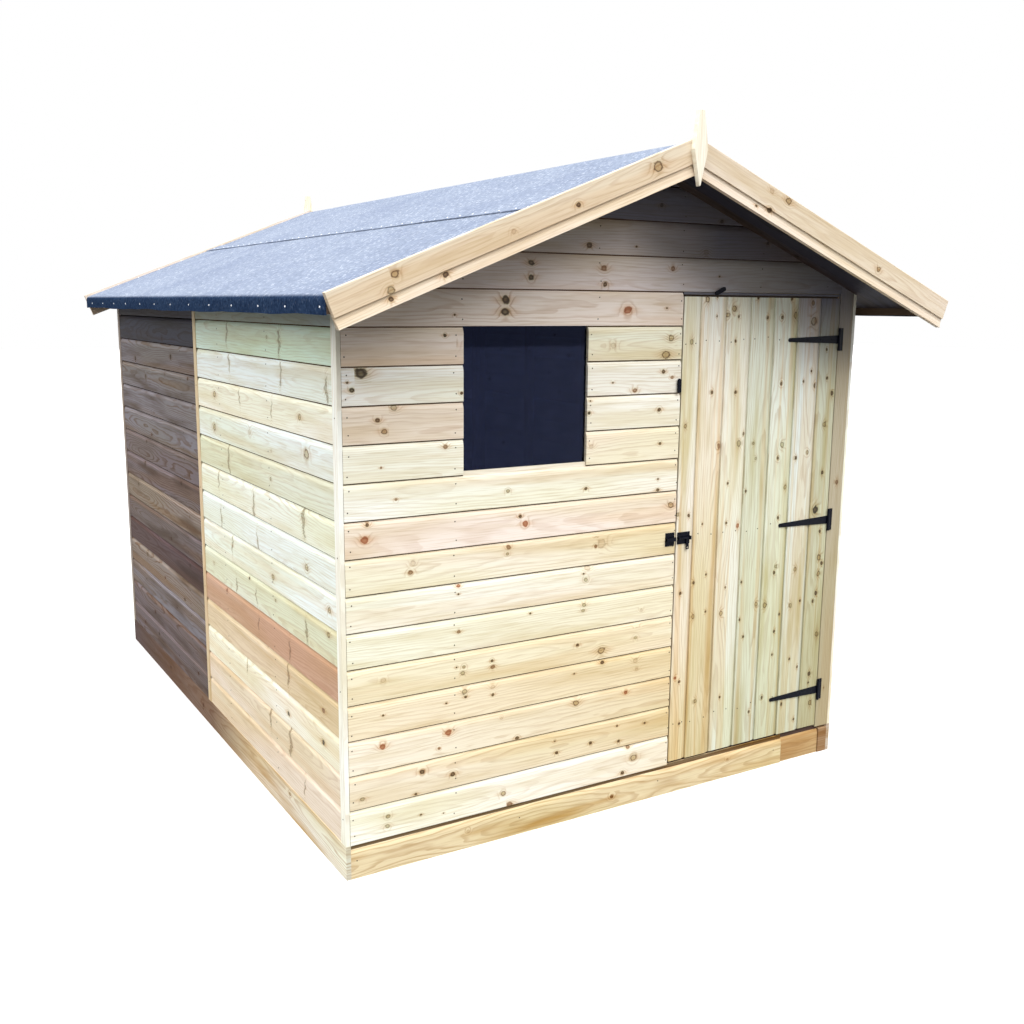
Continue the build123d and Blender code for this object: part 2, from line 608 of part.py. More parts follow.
def make_bolt():
    """A pad bolt drawn back on its plate, with the keep on the wall beside it."""
    z = ledge_places()[1] + LEDGE_HEIGHT / 2
    y = FRONT_Y - BOLT_STEEL - BOLT_RADIUS - RUNNING_GAP
    out_y = y - BOLT_RADIUS - BOLT_STEEL
    x0 = DOOR_X + BOLT_EDGE
    x1 = x0 + BOLT_PLATE_WIDTH
    half = BOLT_PLATE_HEIGHT / 2
    arch = BOLT_RADIUS + BOLT_STEEL
    plate = block(x0, x1, FRONT_Y - BOLT_STEEL, FRONT_Y, z - half, z + half)
    for guide_x in (x0, x1 - GUIDE_WIDTH):
        plate += block(guide_x, guide_x + GUIDE_WIDTH, out_y, FRONT_Y, z - arch, z + arch)
    plate -= rod(BOLT_RADIUS + RUNNING_GAP, x0, x1, y, z)
    save("bolt_plate", plate)
    flap_x = x1 - GUIDE_WIDTH - FLAP_GAP - FLAP_WIDTH
    flap_y = y - BOLT_STEEL / 2
    flap = block(flap_x, flap_x + FLAP_WIDTH, flap_y, flap_y + BOLT_STEEL, z - FLAP_DROP, z)
    bolt = rod(BOLT_RADIUS, x0 + BOLT_TIP_INSET, x1, y, z) + flap
    hole_z = z - FLAP_DROP + FLAP_WIDTH / 2
    flap_hole = Rot(90, 0, 0) * Cylinder(FLAP_HOLE_RADIUS, BOLT_STEEL)
    bolt -= Pos(flap_x + FLAP_WIDTH / 2, y, hole_z) * flap_hole
    save("bolt", bolt)
    keep_x1 = DOOR_X - DOOR_GAP - KEEP_FROM_EDGE
    keep_x0 = keep_x1 - KEEP_WIDTH
    half = KEEP_HEIGHT / 2
    keep = block(keep_x0, keep_x1, FRONT_Y - BOLT_STEEL, FRONT_Y, z - half, z + half)
    keep += block(keep_x0, keep_x1, out_y, FRONT_Y, z - arch, z + arch)
    keep -= rod(BOLT_RADIUS + KEEP_CLEARANCE, keep_x0, keep_x1, y, z)
    save("bolt_keep", keep)


def turn_button(x, z, tilt):
    """A rounded bar on one screw, upright and then turned by tilt degrees."""
    bar = extrude(SlotOverall(BUTTON_LENGTH, BUTTON_WIDTH), amount=BUTTON_THICKNESS)
    boss_length = BUTTON_STAND_OFF - RUNNING_GAP
    bar += Pos(0, 0, -boss_length / 2) * Cylinder(BUTTON_BOSS_RADIUS, boss_length)
    screw = Pos(0, 0, BUTTON_THICKNESS) * Cylinder(SCREW_RADIUS, 2 * SCREW_HEAD)
    plane = Plane(origin=(x, FRONT_Y - BUTTON_STAND_OFF, z), x_dir=(1, 0, 0), z_dir=(0, -1, 0))
    return plane * Rot(0, 0, 90 - tilt) * (bar + screw)


def make_buttons():
    """Turn buttons over and beside the door."""
    top = turn_button(DOOR_X + TOP_BUTTON_IN_DOOR, HEAD_Z + TOP_BUTTON_RISE, TOP_BUTTON_TILT)
    save("top_turn_button", top)
    side_x = DOOR_X - DOOR_GAP - SIDE_BUTTON_FROM_EDGE
    save("side_turn_button", turn_button(side_x, DOOR_TOP_Z - SIDE_BUTTON_BELOW_TOP, 0))


os.makedirs("parts", exist_ok=True)
make_base()
make_front_wall()
make_side_walls()
make_rear_wall()
make_side_frames()
make_rear_frame()
make_front_frame()
make_roof_frame()
make_roof_cover()
make_bargeboards()
make_door()
make_hinges()
make_bolt()
make_buttons()
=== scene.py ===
"""Looks of a new wooden garden shed: its boards, felt, glass and ironwork round the CAD frame.

Lengths are in metres, and those of knots in millimetres. X runs along the front from left to right, Y runs
back and Z is up. Each wall is made again board by board, so that every board has its own grain and knots.
"""

import math
import random

import bmesh
import bpy
from mathutils import Matrix, Vector, noise


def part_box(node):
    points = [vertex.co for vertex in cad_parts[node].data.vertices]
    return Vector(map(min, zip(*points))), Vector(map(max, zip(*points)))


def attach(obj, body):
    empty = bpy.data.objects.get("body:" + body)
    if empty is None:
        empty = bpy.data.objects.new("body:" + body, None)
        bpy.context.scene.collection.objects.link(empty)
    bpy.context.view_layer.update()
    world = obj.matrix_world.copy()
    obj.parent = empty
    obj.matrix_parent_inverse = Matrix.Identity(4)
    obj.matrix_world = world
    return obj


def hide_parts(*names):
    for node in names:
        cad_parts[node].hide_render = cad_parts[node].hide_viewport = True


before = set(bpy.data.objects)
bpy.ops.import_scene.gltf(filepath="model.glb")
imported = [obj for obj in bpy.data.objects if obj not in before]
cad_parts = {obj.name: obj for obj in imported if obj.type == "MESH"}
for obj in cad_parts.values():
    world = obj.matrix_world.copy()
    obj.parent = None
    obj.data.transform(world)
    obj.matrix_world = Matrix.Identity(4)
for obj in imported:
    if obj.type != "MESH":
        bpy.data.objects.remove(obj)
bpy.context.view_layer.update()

# Boards
COVER = 0.115
SCOOP_HEIGHT = 0.020
SCOOP_DEPTH = 0.006
TONGUE = 0.012
BOARD_GAP = 0.0015
LAND = 0.003
ARRIS = 0.0015
PLANED = 0.018
SAW_CUT = 0.0004
GLASS_LAP = 0.012
# A top board takes up a remainder of this much; two heights within a hair are the same
LAST_BOARD_SPARE = 0.03
HAIR = 0.001
# The boards' grain is taken from places of one endless pattern, up to this far apart
GRAIN_APART = 290

# Door
DOOR_FIRST_BOARD = 0.078
DOOR_COVER = 0.1165

# Roof
FELT = 0.003
DECK_THICKNESS = 0.012
BARGE_HEIGHT = 0.103
BARGE_SCOOP = 0.033
HALF_RIDGE_GAP = 0.0005
SLOPE = math.radians(21.56)

# Places on the frame
front_lo, front_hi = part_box("front_boards_below_window")
over_lo, over_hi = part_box("front_board_over_window")
gable_lo, gable_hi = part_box("front_gable")
door_lo, door_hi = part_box("door_boards")
glass_lo, glass_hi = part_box("window_glass")
board_lo, board_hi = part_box("front_bargeboards")
deck_lo, deck_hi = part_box("right_roof_deck")
plinth_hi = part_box("side_plinths")[1]
rear_lo, rear_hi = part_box("rear_wall")
BOARD = front_hi.y - front_lo.y
FACE_Y = front_lo.y
BACK_Y = rear_hi.y
CLAD_Z = front_lo.z
RIDGE_Z = board_hi.z
HALF_ROOF = board_hi.x
DECK_UNDER_Z = deck_hi.z - DECK_THICKNESS / math.cos(SLOPE)
RIGHT = Vector((1, 0, 0))
BACK = Vector((0, 1, 0))
UP = Vector((0, 0, 1))


def linear(hex_colour):
    """A colour written as sRGB hex, turned to linear light."""
    parts = [int(hex_colour[i : i + 2], 16) / 255 for i in (0, 2, 4)]
    return [c / 12.92 if c <= 0.04045 else ((c + 0.055) / 1.055) ** 2.4 for c in parts] + [1.0]


# Colours of boards: fresh pressure-treated softwood, brown stains and dark boards; the greys and darkest
# browns also serve as painted shade under the roof, the eaves and over the door
TONES = {
    "white": "fdfdf9",
    "ivory": "f8f9f1",
    "cream": "f6f3e7",
    "straw": "f4ecda",
    "honey": "f0e4cb",
    "wheat": "e5d4ae",
    "reed": "d7c99f",
    "rose": "f4e7dc",
    "tan": "e8dac8",
    "fawn": "e4d6c9",
    "frost": "eef6f4",
    "mint": "edf1e4",
    "sage": "dfe3d2",
    "lint": "d1d4bf",
    "fern": "daf0e4",
    "lichen": "949f9a",
    "biscuit": "dac7aa",
    "olive": "b9b598",
    "drift": "b8ae96",
    "umber": "c09c84",
    "amber": "c9ab80",
    "bark": "a98a6e",
    "dove": "ebdfdc",
    "grey": "b0acb4",
    "slate": "6a6a78",
    "walnut": "5e4e4a",
    "shaded": "574d4b",
    "dusk": "4a4140",
    "pitch": "33333e",
    "thunder": "78747a",
    "clay": "827770",
    "peat": "695f62",
    "loam": "4e3e41",
    "russet": "7a6352",
}

# Kinds of knot: how dark, how red, and how far it is a ring round a pale heart; below 0 it is a
# spike, a branch cut along its length that runs across the board
KNOTS = {
    "dark": (1.0, 0.15, 0.1),
    "red": (0.85, 1.0, 0.2),
    "brown": (0.8, 0.45, 0.2),
    "green": (0.65, 0.0, 0.85),
    "faint": (0.3, 0.5, 0.7),
    "ring": (0.8, 0.2, 1.0),
    "black": (1.0, 0.0, 0.0),
    "spike": (0.5, 0.2, -1.0),
}


def wire(node, sockets):
    """Sets a node's inputs; sockets maps them to values or to other nodes' outputs."""
    for name, value in sockets.items():
        if isinstance(value, bpy.types.NodeSocket):
            node.id_data.links.new(value, node.inputs[name])
        else:
            node.inputs[name].default_value = value


def add(tree, kind, sockets=None, **options):
    """Adds a shader node with its options and sockets."""
    node = tree.nodes.new("ShaderNode" + kind)
    for name, value in options.items():
        setattr(node, name, value)
    wire(node, sockets or {})
    return node


def blank_material(name):
    """A material with only a shader and an output, and its node tree."""
    material = bpy.data.materials.new(name)
    material.use_nodes = True
    tree = material.node_tree
    tree.nodes.clear()
    shader = add(tree, "BsdfPrincipled")
    add(tree, "OutputMaterial", {"Surface": shader.outputs["BSDF"]})
    return material, tree, shader


def ramp(tree, factor, stops):
    """A colour ramp with (place, hex colour) stops."""
    node = add(tree, "ValToRGB", {"Fac": factor})
    elements = node.color_ramp.elements
    while len(elements) < len(stops):
        elements.new(0.5)
    for element, (place, colour) in zip(elements, stops):
        element.position = place
        element.color = linear(colour)
    return node.outputs["Color"]


def greys(tree, factor, stops):
    """A ramp of greys, each written as one hex byte."""
    return ramp(tree, factor, [(place, grey * 3) for place, grey in stops])


def calc(tree, operation, a, b=0.0, c=0.0):
    """One sum on two or three numbers or outputs."""
    return add(tree, "Math", {0: a, 1: b, 2: c}, operation=operation).outputs[0]


def vector(tree, operation, a, b=(0, 0, 0)):
    """One sum on one or two vectors; a length is a number."""
    node = add(tree, "VectorMath", {0: a, 1: b}, operation=operation)
    return node.outputs["Value" if operation == "LENGTH" else "Vector"]


def joined(tree, *parts):
    """A vector made of numbers or outputs."""
    return add(tree, "CombineXYZ", dict(enumerate(parts))).outputs[0]


def split(tree, whole):
    """The three parts of a vector."""
    return add(tree, "SeparateXYZ", {0: whole}).outputs


def carried(tree, name):
    """The outputs of a value that the mesh carries."""
    return add(tree, "Attribute", attribute_name=name).outputs


def object_place(tree):
    """The place of a point on its object, in metres."""
    return add(tree, "TexCoord").outputs["Object"]


def stretch(tree, place, scale):
    """A place scaled along each axis."""
    return add(tree, "Mapping", {"Vector": place, "Scale": scale}).outputs[0]


def cloud(tree, place, scale, detail, roughness=0.5):
    """Soft noise of some cycles a metre."""
    sockets = {"Vector": place, "Scale": scale, "Detail": detail, "Roughness": roughness}
    return add(tree, "TexNoise", sockets).outputs["Fac"]


def mix(tree, factor, colour, other, blend="MIX"):
    """Mixes two colours, as far as the factor says."""
    node = add(tree, "Mix", {0: factor, 6: colour, 7: other}, data_type="RGBA", blend_type=blend)
    return node.outputs[2]


def tint(tree, colour, by, factor=1.0):
    """Multiplies a colour by another, as far as the factor says."""
    return mix(tree, factor, colour, by, "MULTIPLY")


def step(tree, value, low, high):
    """A soft step from 0 at low to 1 at high."""
    sockets = {0: value, 1: low, 2: high}
    return add(tree, "MapRange", sockets, interpolation_type="SMOOTHSTEP").outputs[0]


def surface(shader, sockets, height, strength, depth=0.001):
    """Sets the shader's inputs, and a slight relief where height is high; depth is in metres."""
    wire(shader, sockets)
    relief = {"Height": height, "Strength": strength, "Distance": depth}
    wire(shader, {"Normal": add(shader.id_data, "Bump", relief).outputs[0]})


# The real rings are 2 to 4 mm apart, too fine to show, so they are drawn 7 mm apart
RING_SPACING = 0.007
# How far, in metres, the noise bends the rings, and a knot pushes them aside
RING_WAVE = 0.014
RING_BULGE = 0.011


def timber(
    name, figure=0.32, bands=0.35, band_scale=11.0, stain="efe8da", gloss=0.3, axis=None, colour=None
):
    """Sawn and planed softwood. Boards carry their grain, tone and knots; CAD pieces use axis and colour.

    figure is the strength of the grain and bands that of the warm heartwood, which has band_scale
    cycles a metre across the board; stain is the colour of dull patches, and gloss how much it shines.
    """
    material, tree, shader = blank_material(name)
    if axis:
        place = split(tree, object_place(tree))
        order = {"X": (0, 2, 1), "Y": (1, 2, 0), "Z": (2, 0, 1)}[axis]
        grain = joined(tree, *(place[index] for index in order))
        shade = linear(colour)
        chance = 0.4
    else:
        grain = carried(tree, "grain")["Vector"]
        tone = carried(tree, "tone")
        shade = tone["Color"]
        chance = tone["Alpha"]

    def pattern(along, across, detail):
        """Noise stretched along the grain; along and across are in cycles a metre."""
        return cloud(tree, stretch(tree, grain, (along, across, 1.0)), 1.0, detail)

    slow = pattern(0.9, 4.0, 1.0)
    wave = pattern(5.0, 26.0, 2.0)
    fibre = pattern(8.0, 230.0, 2.0)
    patch = pattern(1.5, 15.0, 3.0)
    heartwood = pattern(0.5, band_scale, 2.0)
    # growth rings of a flat-sawn board: distance to a heart that lies behind the face and leans
    heart = calc(tree, "MULTIPLY_ADD", chance, 0.13, -0.01)
    sideways = calc(tree, "SUBTRACT", split(tree, grain)["Y"], heart)
    behind = calc(tree, "MULTIPLY", slow, 0.11)
    ring = vector(tree, "LENGTH", joined(tree, sideways, behind))
    ring = calc(tree, "MULTIPLY_ADD", wave, RING_WAVE, ring)
    if not axis:
        # distance to the nearest knot, in knot radii; the grain runs round it
        knot = carried(tree, "knot")["Vector"]
        radius = split(tree, knot)["Z"]
        depth, redness, hollow = split(tree, carried(tree, "knot_look")["Vector"])
        # a spike is a thin line that wanders across the board
        spike = calc(tree, "LESS_THAN", hollow, 0.0)
        wander = calc(tree, "MULTIPLY_ADD", pattern(9.0, 30.0, 2.0), 0.06, -0.03)
        wander = joined(tree, calc(tree, "MULTIPLY", spike, wander))
        apart = vector(tree, "ADD", vector(tree, "SUBTRACT", grain, knot), wander)
        squash = joined(tree, 0.85, calc(tree, "MULTIPLY_ADD", spike, -0.84, 1.0))
        reach = vector(tree, "LENGTH", vector(tree, "MULTIPLY", apart, squash))
        round_reach = calc(tree, "DIVIDE", reach, radius)
        ragged = calc(tree, "MULTIPLY_ADD", pattern(60.0, 80.0, 1.0), 1.0, 0.5)
        distance = calc(tree, "MULTIPLY", round_reach, ragged)
        bulge = step(tree, round_reach, 3.6, 0.4)
        ring = calc(tree, "MULTIPLY_ADD", bulge, RING_BULGE, ring)
    turns = calc(tree, "FRACT", calc(tree, "MULTIPLY", ring, 1 / RING_SPACING))
    late = calc(tree, "MULTIPLY", step(tree, turns, 0.45, 0.85), step(tree, turns, 1.0, 0.92))
    contrast = calc(tree, "MULTIPLY_ADD", patch, figure * 2.2, -0.5 * figure)
    if not axis:
        contrast = calc(tree, "MULTIPLY_ADD", calc(tree, "MULTIPLY", bulge, depth), 0.45, contrast)
    strong = calc(tree, "MULTIPLY", late, contrast)
    warm = calc(tree, "MULTIPLY", step(tree, heartwood, 0.5, 0.62), bands)
    shade = tint(tree, shade, linear("f3dfc4"), warm)
    shade = tint(tree, shade, linear("bf9c74"), strong)
    for texture, low, dull, high in (
        (fibre, 0.3, "f0ebe2", 0.5),
        (patch, 0.32, stain, 0.5),
        (slow, 0.42, "f8f7ea", 0.56),
    ):
        shade = tint(tree, shade, ramp(tree, texture, [(low, dull), (high, "ffffff")]))
    if not axis:
        # a brown streak runs from the knot along the grain
        long = vector(tree, "LENGTH", vector(tree, "MULTIPLY", apart, (0.3, 1.1, 0.0)))
        streak = step(tree, calc(tree, "DIVIDE", long, radius), 2.0, 0.6)
        streak = calc(tree, "MULTIPLY", streak, calc(tree, "MULTIPLY", depth, 0.4))
        shade = tint(tree, shade, linear("dcb88e"), streak)
        # a halo, and then the knot itself: a dark disc, or where it is hollow a band round a pale heart
        near = calc(tree, "MULTIPLY", distance, 0.25)
        halo = greys(tree, near, [(0.2, "ff"), (0.36, "8a"), (0.6, "00")])
        disc = greys(tree, near, [(0.0, "d8"), (0.17, "ff"), (0.24, "f0"), (0.3, "00")])
        band = [(0.0, "b8"), (0.06, "50"), (0.17, "6a"), (0.22, "ff"), (0.25, "ff"), (0.3, "00")]
        body = mix(tree, hollow, disc, greys(tree, near, band))
        for cover, green, red in ((halo, "d9d8b8", "efc9a2"), (body, "40342a", "9a5638")):
            stained = mix(tree, redness, linear(green), linear(red))
            shade = tint(tree, shade, stained, calc(tree, "MULTIPLY", cover, depth))
        # the rabbet under the lip of the board above is painted dark and dull: the joint's own dark and
        # painted shade under the lip
        joint = carried(tree, "joint")["Fac"]
        shade = tint(tree, shade, linear("5a3d26"), joint)
        gloss = calc(tree, "MULTIPLY_ADD", joint, -gloss, gloss)
    surface(shader, {"Base Color": shade, "Roughness": 0.62, "Specular IOR Level": gloss}, late, 0.12)
    return material


cladding = timber("pressure_treated_softwood_cladding")
# Dull boards whose grain and knots stand out, for the darkest tones; they reflect next to nothing. On the
# roof boards that darkness is painted shade
dull_figured_wood = timber("dull_figured_softwood", figure=0.9, bands=0.9, stain="b5a694", gloss=0.04)
door_wood = timber(
    "pressure_treated_softwood_door", figure=0.36, bands=0.68, band_scale=26.0, stain="e2d8bc"
)
barge_wood = timber("planed_softwood_bargeboard", figure=0.3)
plinth_wood = timber("sawn_treated_softwood_plinth", figure=0.6, stain="d8bd92", gloss=0.05)
floor_wood = timber("softwood_roof_and_floor_boards", figure=0.6)
frame_across = timber("rough_sawn_framing_across", axis="X", colour="e0c9a4")
frame_along = timber("rough_sawn_framing_along", axis="Y", colour="e0c9a4")
frame_upright = timber("rough_sawn_framing_upright", axis="Z", colour="e0c9a4")
# Fascias and door stops sit in deep shade: their dark colour is painted shade
shaded_timber_along = timber("sawn_timber_painted_shade_along", axis="Y", colour="54463c")
shaded_timber_upright = timber("sawn_timber_painted_shade_upright", axis="Z", colour="54463c")


def roofing_felt():
    """Mineral-faced roofing felt: pale slate grains in bitumen, painted pale where it faces the sky and
    dark and dull where it turns down, as painted light and shade.
    """
    material, tree, shader = blank_material("mineral_roofing_felt")
    place = object_place(tree)
    # the real grains are about 1 mm, too fine to show: they are drawn 8 to 15 mm wide, longer down the roof
    stretched = stretch(tree, place, (62.0, 115.0, 115.0))
    grit = cloud(tree, stretched, 1.0, 3.0, 0.65)
    cell = add(tree, "TexVoronoi", {"Vector": stretched, "Scale": 0.55}).outputs["Distance"]
    face = ramp(tree, grit, [(0.3, "5a6577"), (0.45, "737e92"), (0.62, "8691a5")])
    turned_down_shade = ramp(tree, grit, [(0.3, "1c2a40"), (0.5, "283852"), (0.7, "394b66")])
    # the top face is painted pale and flecked, the turned-down edge dark: painted light and shade on one
    # felt
    flat = step(tree, split(tree, place)["Z"], fold_z - 0.005, fold_z + 0.007)
    colour = mix(tree, flat, turned_down_shade, face)
    fleck = calc(tree, "MULTIPLY_ADD", flat, 0.32, 0.03)
    fleck = calc(tree, "MULTIPLY", calc(tree, "LESS_THAN", cell, 0.24), fleck)
    colour = mix(tree, fleck, colour, linear("e8edf6"))
    cast = ramp(tree, cloud(tree, place, 4.0, 3.0), [(0.3, "e6e9f0"), (0.6, "ffffff")])
    colour = tint(tree, colour, cast)
    # the turned-down edge is painted dull too, part of its painted shade
    gloss = calc(tree, "MULTIPLY", flat, 0.5)
    surface(shader, {"Base Color": colour, "Roughness": 0.9, "Specular IOR Level": gloss}, grit, 0.35)
    return material


def steel(name, stops, metallic=0.0, roughness=0.25):
    """Ironwork and fastenings: black varnish with a soft sheen, dull iron or bright zinc, by its stops."""
    material, tree, shader = blank_material(name)
    speck = cloud(tree, object_place(tree), 180.0, 3.0)
    sockets = {
        "Base Color": ramp(tree, speck, stops),
        "Roughness": calc(tree, "MULTIPLY_ADD", speck, 0.3, roughness),
        "Metallic": metallic,
        "Specular IOR Level": 0.06,
    }
    surface(shader, sockets, speck, 0.1, 0.0005)
    return material


def clear_glazing():
    """Clear 4 mm glass over a dark room: nearly black, with a cold navy reflection and a film of dust."""
    material, tree, shader = blank_material("clear_glazing")
    film = cloud(tree, object_place(tree), 7.0, 3.0)
    wire(shader, {
        "Base Color": ramp(tree, film, [(0.3, "3c465e"), (0.7, "505b75")]),
        "Transmission Weight": 1.0,
        "IOR": 1.45,
        "Specular Tint": linear("6f7cb4"),
        "Roughness": 0.02,
    })
    return material


fold_z = deck_lo.z + DECK_THICKNESS / math.cos(SLOPE) + FELT
felt = roofing_felt()
black_steel = steel("black_japanned_steel", [(0.35, "05060d"), (0.7, "11131f")])
nail_steel = steel("dull_nail_steel", [(0.35, "261d16"), (0.7, "463a2e")], roughness=0.5)
bright_steel = steel(
    "zinc_plated_clout_steel", [(0.3, "c9ced6"), (0.7, "eef1f5")], metallic=0.4, roughness=0.3
)
pane = clear_glazing()


def shiplap(cover, first=False, last=False):
    """Cross-section of a board, (across, out): a scooped top with a tongue, and a lip at its foot."""
    lip = SCOOP_DEPTH - 0.0005
    points = [(0, -BOARD), (0, 0)]
    if not first:
        rabbet = TONGUE + 0.002
        eased = 0.0007
        points = [(rabbet, -BOARD), (rabbet, -lip), (BOARD_GAP, -lip)]
        points += [(BOARD_GAP, -eased), (BOARD_GAP + eased, 0)]
    if last:
        return points + [(cover, 0), (cover, -BOARD)]
    return points + [
        (cover - LAND - SCOOP_HEIGHT, 0),
        (cover - LAND - SCOOP_HEIGHT * 0.66, -SCOOP_DEPTH * 0.12),
        (cover - LAND - SCOOP_HEIGHT * 0.33, -SCOOP_DEPTH * 0.44),
        (cover - LAND, -SCOOP_DEPTH),
        (cover + TONGUE, -SCOOP_DEPTH),
        (cover + TONGUE, -BOARD),
    ]


def planed(width, thickness, arris=ARRIS):
    """Cross-section of a squared timber, (across, out), with its front arrises taken off."""
    left = [(0, -thickness), (0, -arris), (arris, 0)]
    return left + [(width - across, out) for across, out in reversed(left)]


def lay(corner, along, across):
    """Where a board lies: its corner in the world, along its grain and across its face."""
    turn = Matrix((along, across, along.cross(across))).transposed().to_4x4()
    return Matrix.Translation(corner) @ turn


def saw(shape, point, normal, geom=None, clear=False):
    """Cuts a bmesh or some of it by a plane; with clear, what is outside the plane is taken off."""
    if geom is None:
        geom = shape.verts[:] + shape.edges[:] + shape.faces[:]
    bmesh.ops.bisect_plane(shape, geom=geom, plane_co=point, plane_no=normal, clear_outer=clear)


def moved_verts(run):
    """The points that an extrusion has made."""
    return [v for v in run["geom"] if isinstance(v, bmesh.types.BMVert)]


def mesh_data(name, shape):
    """Turns a bmesh into mesh data, and frees it."""
    data = bpy.data.meshes.new(name)
    shape.to_mesh(data)
    shape.free()
    return data


# Where along a board its tones lie, by how many it has
TONE_STOPS = {1: (0,), 2: (0, 1), 3: (0, 0.2, 1), 4: (0, 0.5, 0.7, 1)}


def tone_at(tones, share):
    """The colour of a board at a share of its length; its tones are written with a slash between them."""
    colours = [linear(TONES[name])[:3] for name in tones.split("/")]
    stops = TONE_STOPS[len(colours)]
    for index in range(1, len(stops)):
        if share <= stops[index]:
            part = (share - stops[index - 1]) / (stops[index] - stops[index - 1])
            return [a + (b - a) * part for a, b in zip(colours[index - 1], colours[index])]
    return colours[-1]


def read_knots(text):
    """Knots written as 'along across radius kind' in millimetres, with commas between them.

    Where a wall's knots are one text, a semicolon ends each board, from the foot up or from the left.
    """
    knots = []
    for words in (part.split() for part in text.split(",") if part.strip()):
        along, across, radius = (float(word) / 1000 for word in words[:3])
        knots.append((Vector((along, across)), radius, words[3] if len(words) > 3 else "dark"))
    return sorted(knots, key=lambda knot: knot[0].x)


def random_knots(length, width, often):
    """Knots spread along a board as they come, about so many a metre."""
    count = rng.randint(int(often * length * 0.5), int(often * length) + 1)
    pitch = length / max(count, 1)
    knots = []
    for i in range(count):
        place = Vector((pitch * (i + rng.uniform(0.2, 0.8)), rng.uniform(0.12, 0.8) * width))
        kind = rng.choice(["dark", "green", "green", "brown", "faint", "ring", "ring", "red"])
        knots.append((place, rng.choice([0.003, 0.004, 0.006, 0.007, 0.009]), kind))
    return knots


# Knots nearer than this along a board share a stretch of it
NEAR_KNOTS = 0.026
# How dark the sawn ends are, where 1 is the darkest joint
END_GRAIN = 0.3


